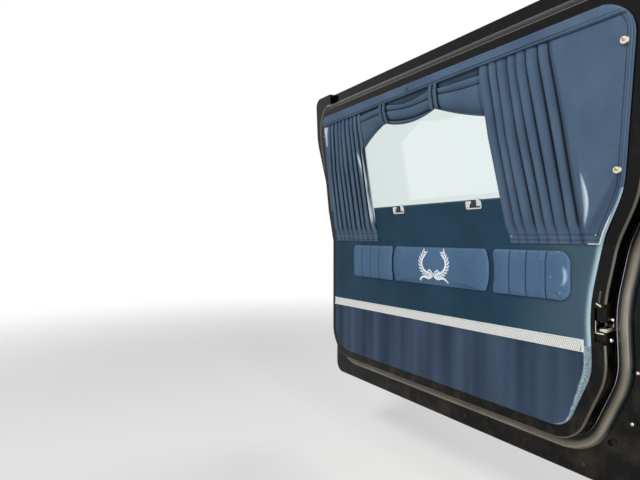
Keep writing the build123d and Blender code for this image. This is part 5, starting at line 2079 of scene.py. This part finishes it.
@dataclass
class RearPanel:
    """Smooth cloth panel behind the rear drape, with a hemmed edge, a soft crease with painted
    sunlight, and painted shade in its seams and folds.
    """

    finishes: Finishes
    bottom: float = HEM_BOTTOM

    def build(self) -> None:
        """Build the panel and the white cord that shows along its lower edges."""
        outline = TRIM.span(-1.0)
        height = float(seam_height(TRIM_MIDDLE)) - self.bottom
        grid = SheetGrid(
            below_seam,
            level(self.bottom + SEAM_GAP),
            lambda z: (drape_edge(DRAPE_REAR, 1, z) + 0.3, outline(z)[1]),
            spaced_rows(height, 6.0, [height - r for r in (26, 24, 22, 12.5, 10.5, 8.5, 1.5)]),
            spaced_columns(150.0, 3.5, (0.0, 0.6, 1.6, 3.0, 4.4, 5.6, 7.0, 8.5, 10.0, 11.5)),
        )
        near = TRIM.distance(grid.x, grid.z, -1.0)
        relief = 4.0 + 0.9 * np.sin((grid.x - 1100) / 45.0) * np.sin((grid.z - 560) / 150.0)
        share = np.clip((grid.z - 626.0) / 126.0, 0.0, 1.0)
        bow = np.sin(math.pi * share**0.9)
        away = grid.x - (1141.5 + 14.0 * bow + 5.0 * share)
        lift = smooth(grid.z, 612.0, 650.0) * (1.0 - smooth(grid.z, 735.0, 830.0))
        relief += 2.6 * ridge(away + 2.0, 9.0) * lift
        valley = grid.x - (1162.0 + 0.63 * (grid.z - 648.0))
        sunk = smooth(valley, -4.0, 9.0) * (1.0 - smooth(valley, 14.0, 52.0))
        sunk *= smooth(grid.z, 584.0, 625.0) * (1.0 - smooth(grid.z, 715.0, 765.0))
        relief -= 2.4 * sunk
        relief -= 0.9 * ridge(near - 10.0, 1.0) + 0.7 * ridge(near - 4.6, 0.9)
        relief += 0.5 * ridge(near - 7.2, 1.6)
        relief -= rolled_edge(near, 3.0, 2.6)
        # Painted shade at the hem lines, in the sunk fold and next to the drape's edge.
        dark = 0.5 * ridge(near - 10.0, 1.3) + 0.4 * ridge(near - 4.6, 1.0) + 0.3 * sunk
        dark += 0.45 * (1.0 - smooth(grid.x - drape_edge(DRAPE_REAR, 1, grid.z), 1.0, 13.0))
        for line in HEM_SEAMS:
            seam = ridge(grid.z - (self.bottom + line), 1.3)
            relief -= 0.8 * seam
            dark = dark + 0.5 * seam
        relief = np.clip(relief, 0.9, 8.5)
        # Painted sunlight along the crease.
        wide = 1.5 + 15.0 * np.sin(math.pi * share)
        worn = smooth(away, -wide, -0.2 * wide) * (1.0 - smooth(away, 0.0, 2.5))
        worn *= 0.95 * np.sin(math.pi * share) ** 0.4
        made = thicken(
            grid.surface(
                "rear_cloth_panel", relief, self.finishes.cloth, sharp=75.0,
                marks={Mark.HOLLOW: dark, Mark.WORN: worn},
            ),
            0.7,
        )
        hand_over(made, "drape_fabric", "rear_fabric_panel", "stretched")
        self.build_piping(outline)

    def build_piping(self, outline: Callable[[np.ndarray], tuple[np.ndarray, np.ndarray]]) -> None:
        """Lay a white cord 2 mm thick along the hem and up the slanting edge.

        Args:
            outline: Function that gives the trim's least and greatest x at z.
        """
        slant = np.linspace(662.0, self.bottom + 3.0, 40)
        along = np.linspace(0.0, 1.0, 26)[1:]
        corner = outline(slant[-1:])[1][0] - 0.5
        x = np.concatenate((outline(slant)[1] - 0.8, corner + along * (1141.0 - corner)))
        z = np.concatenate((slant, np.full(25, self.bottom + 1.6)))
        line = np.stack((x, trim_y(z) - 3.2, z), axis=1)
        step = np.arange(len(x))
        thin = 1.7 * smooth(step, 0, 16) * (1.0 - smooth(step, 58, 64))
        way = np.gradient(line, axis=0)
        way /= np.linalg.norm(way, axis=1, keepdims=True)
        side = np.cross(way, (0.0, 1.0, 0.0))
        side /= np.linalg.norm(side, axis=1, keepdims=True)
        other = np.cross(way, side)
        turn = np.linspace(0.0, math.tau, 8, endpoint=False)[None, :, None]
        circles = np.cos(turn) * side[:, None, :] + np.sin(turn) * other[:, None, :]
        rings = line[:, None, :] + np.maximum(thin, 0.05)[:, None, None] * circles
        number = np.arange(len(x) * 8).reshape(-1, 8)
        faces = grid_faces(number, ring=True) + [tuple(number[0]), tuple(number[-1][::-1])]
        made = make_object("panel_edge_piping", rings.reshape(-1, 3), faces, self.finishes.piping)
        face_outwards(made)
        hand_over(made, "drape_fabric")


@dataclass
class Fittings:
    """Screws, tacks, plugs and the small latch parts that the CAD leaves out."""

    finishes: Finishes

    def pattern(self, name: str, profile: Sequence[tuple[float, float]]) -> bpy.types.Object:
        """Round head of radius 1 mm from rows of radius and height, for the fastener tree.

        Args:
            name: The pattern's name.
            profile: Rows of radius and height in mm.

        Returns:
            The head, outside the scene.
        """
        turns = 14
        angle = np.linspace(0.0, math.tau, turns, endpoint=False)
        rows = [
            np.stack((r * np.cos(angle), r * np.sin(angle), np.full(turns, h)), axis=1)
            for r, h in profile
        ]
        points = np.concatenate((*rows, [(0.0, 0.0, profile[-1][1])])) * MM
        faces = grid_faces(np.arange(len(rows) * turns).reshape(-1, turns), ring=True)
        top = (len(rows) - 1) * turns
        faces += [(top + k, top + (k + 1) % turns, len(points) - 1) for k in range(turns)]
        faces.append(tuple(range(turns))[::-1])
        mesh = bpy.data.meshes.new(name)
        mesh.from_pydata(points.tolist(), [], faces)
        return bpy.data.objects.new(name, mesh)

    def on_trim(self, x: float, z: float, stand: float) -> tuple[tuple, tuple]:
        """Place at x and z that stands in mm inwards of the trim, and the way it faces."""
        way = INWARDS_ABOVE_SILL if z > TRIM_HEIGHTS[1] else INWARDS
        return (x, float(trim_y(z)) - stand, z), way

    def build(self, tree: GeometryTree) -> None:
        """Set every small head on what carries it: places and the ways that they face.

        Args:
            tree: The tree that places fasteners.
        """
        f, on_trim, flange = self.finishes, self.on_trim, FLANGE_DEPTH
        screw = self.pattern(
            "screw_head",
            ((1.0, -0.3), (1.0, 0.18), (0.86, 0.42), (0.6, 0.54), (0.42, 0.52), (0.34, 0.22)),
        )
        knob = self.pattern(
            "round_knob",
            ((0.7, -0.5), (0.75, 0.5), (1.0, 0.7), (0.95, 1.2), (0.6, 1.5), (0.2, 1.6)),
        )
        rearwards, down = (1.0, 0.0, 0.0), (0.0, 0.0, -1.0)
        heads = (
            ("cup_washer_screws", screw, 4.6, f.brass, "chrome",
             [on_trim(1270.0, 1020.0, 10.0), on_trim(1231.0, 751.0, 10.0)]),
            ("latch_screw", screw, 6.4, f.chrome, "chrome", [((1181.2, 38.0, 345.0), rearwards)]),
            ("latch_knob", knob, 4.6, f.zinc, "zinc", [((1181.2, 36.0, 396.0), rearwards)]),
            ("cloth_tacks", knob, 1.5, f.piping, "drape_fabric",
             [on_trim(924.0, 633.0, 2.2), on_trim(931.0, 600.0, 2.2),
              on_trim(1168.0, 603.0, 4.0), on_trim(57.0, 1026.0, 11.0)]),
            ("flange_screws", screw, 4.4, f.satin, "black_paint",
             [((x, flange, z), INWARDS)
              for x, z in ((-58.0, 300.0), (-58.0, 480.0), (700.0, 2.0), (1100.0, 2.0))]),
            ("bump_stop_screws", screw, 4.0, f.zinc, "zinc",
             [((x, flange - 7.0, z), INWARDS) for x, z in ((1233.0, 275.0), (1221.0, 150.0))]),
            ("pan_plugs", screw, 3.2, f.zinc, "zinc",
             [((x, 30.0, 69.2), down) for x in (286.0, 498.0, 821.0)]),
        )
        for name, head, size, material, slot, places in heads:
            points, facing = (np.array(rows) for rows in zip(*places))
            values = {"Fastener": head, "Size": size, "Material": material}
            hand_over(tree.grow(name, points, [], values, facing), slot, verb="set")

    def plate(
        self,
        name: str,
        corners: Sequence[tuple[float, float, float]],
        push: tuple[float, float, float],
        material: bpy.types.Material,
        slot: str,
    ) -> None:
        """Flat plate from its corners on one side, pushed to its thickness, edges bevelled.

        Args:
            name: The piece's name.
            corners: Corners in mm of the door, in order round one face.
            push: Thickness as a vector in mm.
            material: The plate's material.
            slot: The record's slot.
        """
        near = np.array(corners)
        count = len(near)
        faces = [tuple(range(count)), tuple(range(2 * count - 1, count - 1, -1))]
        faces += [(i, i + count, (i + 1) % count + count, (i + 1) % count) for i in range(count)]
        made = make_object(name, np.concatenate((near, near + push)), faces, material, sharp=30.0)
        face_outwards(made)
        edge = made.modifiers.new("soft_edge", "BEVEL")
        edge.width, edge.segments = 0.0006, 2
        finish_modifiers(made)
        made.data.shade_smooth()
        made.data.set_sharp_from_angle(angle=math.radians(35))
        hand_over(made, slot, verb="fitted")

    def build_latch(self) -> None:
        """The latch's bright ledge, guide plate and claw, and the guard's strip and lip."""
        f, wall = self.finishes, 1181.3
        guide = ((13.0, 366.0), (54.0, 368.0), (61.0, 379.0), (53.0, 391.0), (47.0, 388.0),
                 (42.0, 378.0), (13.0, 375.0))
        # Name, place of the near face, its corners, thickness, finish and slot. The guide
        # stands on the latch's rear wall, with corners of y and z; the others lie at a
        # depth, with corners of x and z.
        plates = (
            ("latch_slot_ledge", 12.6,
             ((1154.0, 360.0), (1177.0, 360.0), (1177.0, 363.2), (1157.2, 363.2),
              (1157.2, 392.0), (1154.0, 392.0)), 1.6, f.zinc, "zinc"),
            ("latch_guide_plate", wall, guide, 2.2, f.zinc, "zinc"),
            ("latch_claw", 12.9,
             ((1166.0, 368.0), (1181.0, 366.0), (1181.0, 375.0), (1166.0, 373.0)),
             2.4, f.zinc, "zinc"),
            # The guard strip's light brown edge finish is a painted highlight.
            ("latch_guard_strip", 5.6,
             ((1165.0, 438.0), (1170.0, 438.0), (1174.2, 467.0), (1169.8, 467.0)),
             2.8, f.edge, "black_paint"),
            ("latch_guard_lip", 3.8,
             ((1161.0, 434.0), (1173.5, 427.0), (1174.8, 430.5), (1162.5, 437.5)),
             4.6, f.zinc, "zinc"),
        )
        for name, place, corners, thick, material, slot in plates:
            if corners is guide:
                spots, push = [(place, y, z) for y, z in corners], (thick, 0.0, 0.0)
            else:
                spots, push = [(x, place, z) for x, z in corners], (0.0, thick, 0.0)
            self.plate(name, spots, push, material, slot)

    def build_clips(self) -> None:
        """Dark block behind each sill clip's knob, and the strip at the front drape's edge."""
        f = self.finishes
        foot, low, high = 685.5, 689.5, 708.5
        block = ((-23.0, foot), (23.0, foot), (23.0, low), (9.0, low), (9.0, high),
                 (-5.0, high), (-5.0, low), (-23.0, low))
        for number, x in enumerate((461.0, 807.0), start=1):
            corners = [(x + over, float(trim_y(z)) - 2.6, z) for over, z in block]
            self.plate(f"sill_clip_block_{number}", corners, (0.0, -3.4, 0.0), f.satin, "rubber")
        edge = ((48.5, 1066.0), (76.0, 1066.0), (77.0, 1046.0), (74.0, 1010.0), (60.0, 985.0),
                (52.0, 985.0))
        strip = [(x, float(trim_y(z)) - 1.2, z) for x, z in edge]
        self.plate("front_edge_strip", strip, (0.0, -1.2, 0.0), f.piping, "drape_fabric")


@dataclass
class Studio:
    """Camera at the photograph's place, pale floor and soft light."""

    place: tuple[float, float, float] = (1.94896, -1.29625, 0.410)
    forward: tuple[float, float] = (-0.8559, 0.5171)
    pitch_deg: float = 0.477
    lens: float = 27.0
    floor_z: float = -0.52
    floor_radius: float = 60.0

    def build_camera(self) -> None:
        """Set the scene's camera."""
        data = bpy.data.cameras.new("photograph_view")
        data.lens, data.sensor_width = self.lens, 36.0
        data.clip_start, data.clip_end = 0.05, 200.0
        camera = link_object("photograph_view", data)
        camera.location = self.place
        slope = math.tan(math.radians(self.pitch_deg))
        look = Vector((*self.forward, -slope))
        camera.rotation_mode = "QUATERNION"
        camera.rotation_quaternion = look.to_track_quat("-Z", "Y")
        bpy.context.scene.camera = camera

    def soft_box(
        self,
        name: str,
        place: tuple[float, float, float],
        target: tuple[float, float, float],
        size: tuple[float, float],
        power: float,
    ) -> None:
        """Add one rectangular lamp, of a width and height in metres, that looks at a point.

        Args:
            name: The lamp's name.
            place: Its place in metres.
            target: The point that it looks at.
            size: Its width and height in metres.
            power: Its power in watts.
        """
        data = bpy.data.lights.new(name, "AREA")
        data.shape, data.energy = "RECTANGLE", power
        data.size, data.size_y = size
        lamp = link_object(name, data)
        lamp.location = place
        lamp.rotation_mode = "QUATERNION"
        way = Vector(target) - Vector(place)
        lamp.rotation_quaternion = way.to_track_quat("-Z", "Y")

    def seen_rays(self, tree: bpy.types.NodeTree) -> Any:
        """Socket that is 1 for camera, glossy and transmission rays.

        Args:
            tree: The tree that asks.

        Returns:
            The socket.
        """
        path = add_node(tree, "ShaderNodeLightPath")
        seen = path.outputs["Is Camera Ray"]
        for kind in ("Is Glossy Ray", "Is Transmission Ray"):
            seen = add_node(
                tree, "ShaderNodeMath", {"operation": "MAXIMUM"}, {0: seen, 1: path.outputs[kind]}
            ).outputs[0]
        return seen

    def build_floor(self) -> None:
        """Pale paper floor that turns to the background's white further out."""
        turns, radius = 96, self.floor_radius
        angles = [math.tau * k / turns for k in range(turns)]
        ring = [(radius * math.cos(a), radius * math.sin(a), self.floor_z) for a in angles]
        mesh = bpy.data.meshes.new("studio_floor")
        mesh.from_pydata(ring, [], [tuple(range(turns))])
        paper = bpy.data.materials.new("pale_studio_paper")
        paper.use_nodes = True
        tree = paper.node_tree
        shader = tree.nodes["Principled BSDF"]
        shader.inputs["Base Color"].default_value = linear("#F1EFEA")
        shader.inputs["Roughness"].default_value = 0.8
        known = {"paper": shader.outputs[0], "seen": self.seen_rays(tree)}
        rows = (
            OBJECT,
            ("white", "ShaderNodeEmission", 0, {"Color": linear("#FFFFFF"), "Strength": 1.0}, {}),
            ("away", "ShaderNodeVectorMath", "Value", {"operation": "LENGTH"}, {0: "object"}),
            ("far", RANGE, 0, {1: 1.4, 2: 5.5, 3: 0.3, "interpolation_type": "SMOOTHSTEP"},
             {0: "away"}),
            ("share", MATH, 0, TIMES, {0: "far", 1: "seen"}),
            ("mixed", "ShaderNodeMixShader", 0, {}, {0: "share", 1: "paper", 2: "white"}),
        )
        mixed = wire(tree, rows, known)["mixed"]
        tree.links.new(mixed, tree.nodes["Material Output"].inputs["Surface"])
        mesh.materials.append(paper)
        floor = link_object("studio_floor", mesh)

    def build_world(self) -> None:
        """Soft sky light, white where the camera, gloss or glass sees it."""
        world = bpy.data.worlds.new("studio_world")
        bpy.context.scene.world = world
        world.use_nodes = True
        tree = world.node_tree
        back = tree.nodes["Background"]
        back.inputs["Color"].default_value = linear("#DCE6F2")
        back.inputs["Strength"].default_value = 0.26
        white = add_node(
            tree, "ShaderNodeBackground", {"Color": linear("#FFFFFF"), "Strength": 1.0}
        )
        mixed = add_node(
            tree, "ShaderNodeMixShader",
            links={0: self.seen_rays(tree), 1: back.outputs[0], 2: white.outputs[0]},
        )
        tree.links.new(mixed.outputs[0], tree.nodes["World Output"].inputs["Surface"])

    def build(self) -> None:
        """Build the floor, the world and the lamps."""
        bpy.context.scene.view_settings.view_transform = "Standard"
        self.build_floor()
        self.build_world()
        self.soft_box("side_strip", (4.0, -0.75, 0.9), (0.9, -0.05, 0.5), (0.5, 2.8), 58.0)
        self.soft_box("key_soft_box", (1.3, -3.5, 3.2), (0.8, 0.0, 0.4), (1.2, 1.2), 112.0)
        self.soft_box("back_soft_box", (0.4, 3.4, 2.6), (0.7, 0.0, 0.4), (1.6, 1.6), 60.0)
        log.info("lit the studio")


def main() -> None:
    """Build the door's looks piece by piece."""
    logging.basicConfig(level=logging.INFO, format="%(message)s")
    studio = Studio()
    studio.build_camera()
    finishes = Finishes()
    stitches, flutes, leaves, fasteners = stitch_tree(), flute_tree(), leaf_tree(), fastener_tree()
    shell = Shell(finishes)
    shell.dress()
    shell.build_seal()
    panels = TrimPanels(finishes)
    panels.build_board()
    panels.build_carpet()
    panels.build_strip(flutes)
    pads = PadRow(finishes).build(stitches)
    Wreath(finishes).build(pads[1], leaves)
    HeaderBand(finishes).build(stitches)
    front = Drape(
        "drape_front_pleats", "drape_front", DRAPE_FRONT, 9, Fold.ROUND, (0.9, 1.0), 1.4,
        hem=(31.0, 8.0),
        # Painted sunlight on the rear pleats and the rear edge, and a painted shadow line beside
        # it.
        sunlit=(
            (269.0, 940.0, 300.0, 775.0, 6.0), (298.0, 950.0, 300.0, 785.0, 5.5),
            (296.0, 850.0, 305.0, 640.0, 7.0), (315.6, 965.0, 315.6, 640.0, 2.4),
        ),
        shadow_lines=((310.8, 950.0, 640.0, 3.4),),
    )
    front.build(finishes.cloth)
    rear = Drape(
        "drape_rear_pleats", "drape_rear", DRAPE_REAR, 7, Fold.LIP, (0.1, 1.0), 1.4
    )
    rear.build(finishes.cloth)
    valance = Valance(finishes)
    valance.build()
    valance.build_tabs()
    RearPanel(finishes).build()
    fittings = Fittings(finishes)
    fittings.build(fasteners)
    fittings.build_latch()
    fittings.build_clips()
    studio.build()


if __name__ == "__main__":
    main()
